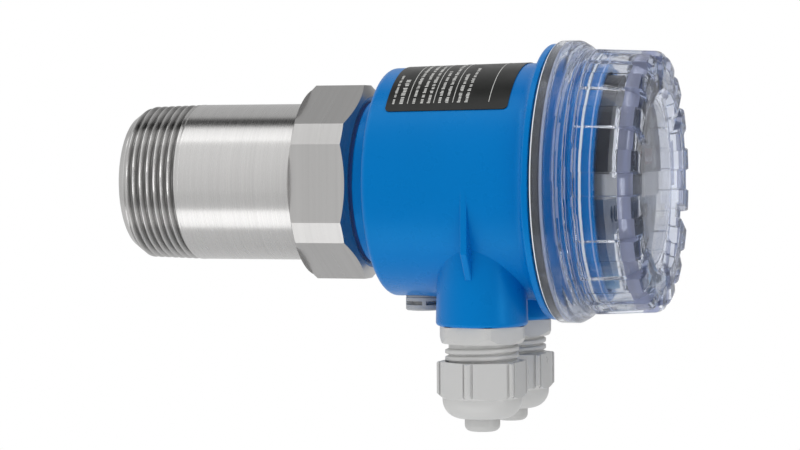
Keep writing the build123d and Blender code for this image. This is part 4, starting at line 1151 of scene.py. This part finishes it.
def blend(tree, share, value, other):
    """Value that turns into a plain number as the share goes to one."""
    node = add(tree, "ShaderNodeMix")
    tree.links.new(share, node.inputs[0])
    tree.links.new(value, node.inputs[VALUE_A])
    node.inputs[VALUE_B].default_value = other
    return node.outputs[0]


def white_light(tree, strength=None):
    """White background, of plain strength 1 unless another is given."""
    node = add(tree, "ShaderNodeBackground")
    node.inputs["Color"].default_value = (1, 1, 1, 1)
    if strength is not None:
        tree.links.new(strength, node.inputs["Strength"])
    return node.outputs[0]


def gloss_level(tree):
    """How bright the surroundings are in gloss.

    They are even in front, dimmer overhead, behind and to one side, with a dark gap and a bright strip.
    """
    coords = add(tree, "ShaderNodeTexCoord")
    split = add(tree, "ShaderNodeSeparateXYZ")
    tree.links.new(coords.outputs["Generated"], split.inputs[0])
    across, depth, height = split.outputs
    level = eased(tree, height, GLOSS_HEIGHT, GLOSS_LOW, GLOSS_HIGH)
    level = blend(tree, eased(tree, height, TOP_HEIGHT), level, GLOSS_TOP)
    level = blend(tree, eased(tree, depth, BACK_DEPTH), level, GLOSS_BACK)
    gap = times(tree, eased(tree, depth, GAP_DEPTH_IN), eased(tree, depth, GAP_DEPTH_OUT, 1, 0))
    gap = times(tree, gap, eased(tree, height, GAP_HEIGHT))
    level = blend(tree, gap, level, GLOSS_GAP)
    side = times(tree, eased(tree, across, SIDE_ACROSS), eased(tree, depth, SIDE_DEPTH))
    level = blend(tree, side, level, GLOSS_SIDE)
    strip = times(tree, eased(tree, across, STRIP_ACROSS_IN), eased(tree, across, STRIP_ACROSS_OUT, 1, 0))
    strip = times(tree, strip, eased(tree, depth, STRIP_DEPTH, 1, 0))
    return blend(tree, strip, level, GLOSS_STRIP)


def world():
    """Even soft light, plain white to the eye and through glass, and shaped by direction in gloss."""
    studio = bpy.data.worlds.new("studio")
    bpy.context.scene.world = studio
    studio.use_nodes = True
    tree = studio.node_tree
    soft = tree.nodes["Background"]
    soft.inputs["Color"].default_value = (1, 1, 1, 1)
    soft.inputs["Strength"].default_value = SKY_DIFFUSE
    path = add(tree, "ShaderNodeLightPath")
    gloss = white_light(tree, gloss_level(tree))
    seen = largest(tree, path.outputs["Is Camera Ray"], path.outputs["Is Transmission Ray"])
    shaded = mix_shaders(tree, path.outputs["Is Glossy Ray"], soft.outputs[0], gloss)
    final = mix_shaders(tree, seen, shaded, white_light(tree))
    tree.links.new(final, tree.nodes["World Output"].inputs["Surface"])


def floor():
    """Round pale floor that fades into the white background at its edge."""
    mesh = bpy.data.meshes.new("floor")
    rim = []
    for step in range(FLOOR_STEPS):
        angle = FULL_TURN * step / FLOOR_STEPS
        rim.append((
            FLOOR_CENTRE[0] + FLOOR_RADIUS * math.cos(angle),
            FLOOR_CENTRE[1] + FLOOR_RADIUS * math.sin(angle),
            FLOOR_HEIGHT,
        ))
    mesh.from_pydata(rim, [], [tuple(range(FLOOR_STEPS))])
    disc = bpy.data.objects.new("floor", mesh)
    bpy.context.scene.collection.objects.link(disc)
    kit = Nodes("floor_pale")
    kit.set(Base_Color=(FLOOR_SHADE, FLOOR_SHADE, FLOOR_SHADE, 1), Roughness=0.9, Specular_IOR_Level=0.1)
    centred = kit.add("ShaderNodeVectorMath", operation="SUBTRACT")
    kit.link(kit.coords(), centred.inputs[0])
    centred.inputs[1].default_value = (*FLOOR_CENTRE, FLOOR_HEIGHT)
    distance = kit.add("ShaderNodeVectorMath", operation="LENGTH")
    kit.link(centred.outputs["Vector"], distance.inputs[0])
    fade = kit.ramp(distance.outputs["Value"], 0.0, 1.0, *FLOOR_FADE)
    glow = kit.add("ShaderNodeEmission")
    path = kit.add("ShaderNodeLightPath")
    strength = kit.ramp(path.outputs["Is Glossy Ray"], 1.0, FLOOR_GLOSS, start=0, end=1)
    kit.link(strength, glow.inputs["Strength"])
    seen = largest(
        kit.tree,
        path.outputs["Is Camera Ray"],
        path.outputs["Is Glossy Ray"],
        path.outputs["Is Transmission Ray"],
    )
    final = mix_shaders(kit.tree, kit.math("MULTIPLY", fade, seen), kit.shader.outputs[0], glow.outputs[0])
    kit.link(final, kit.tree.nodes["Material Output"].inputs["Surface"])
    disc.data.materials.append(kit.material)


def lamp(name, place, target, width, depth, glow):
    """Soft box of a given brightness, where 1 is as bright as the white background."""
    data = bpy.data.lights.new(name, "AREA")
    data.shape = "RECTANGLE"
    data.size = width
    data.size_y = depth
    data.energy = glow * math.pi * width * depth
    holder = bpy.data.objects.new(name, data)
    bpy.context.scene.collection.objects.link(holder)
    holder.location = place
    direction = Vector(target) - Vector(place)
    holder.rotation_euler = direction.to_track_quat("-Z", "Y").to_euler()
    holder.visible_camera = False


finish_nodes()
process_connection()
thread_ridges()
cover()
cover_seal()
nameplate_print()
camera()
world()
floor()
lamp("top_box", place=(0.05, -0.17, 0.6), target=(0.05, -0.17, 0.0), width=1.3, depth=0.3, glow=1.05)
lamp("low_box", place=(0.0, -0.155, -0.19), target=(0.0, -0.155, 0.0), width=0.5, depth=0.145, glow=0.9)

bpy.context.scene.view_settings.view_transform = "Standard"
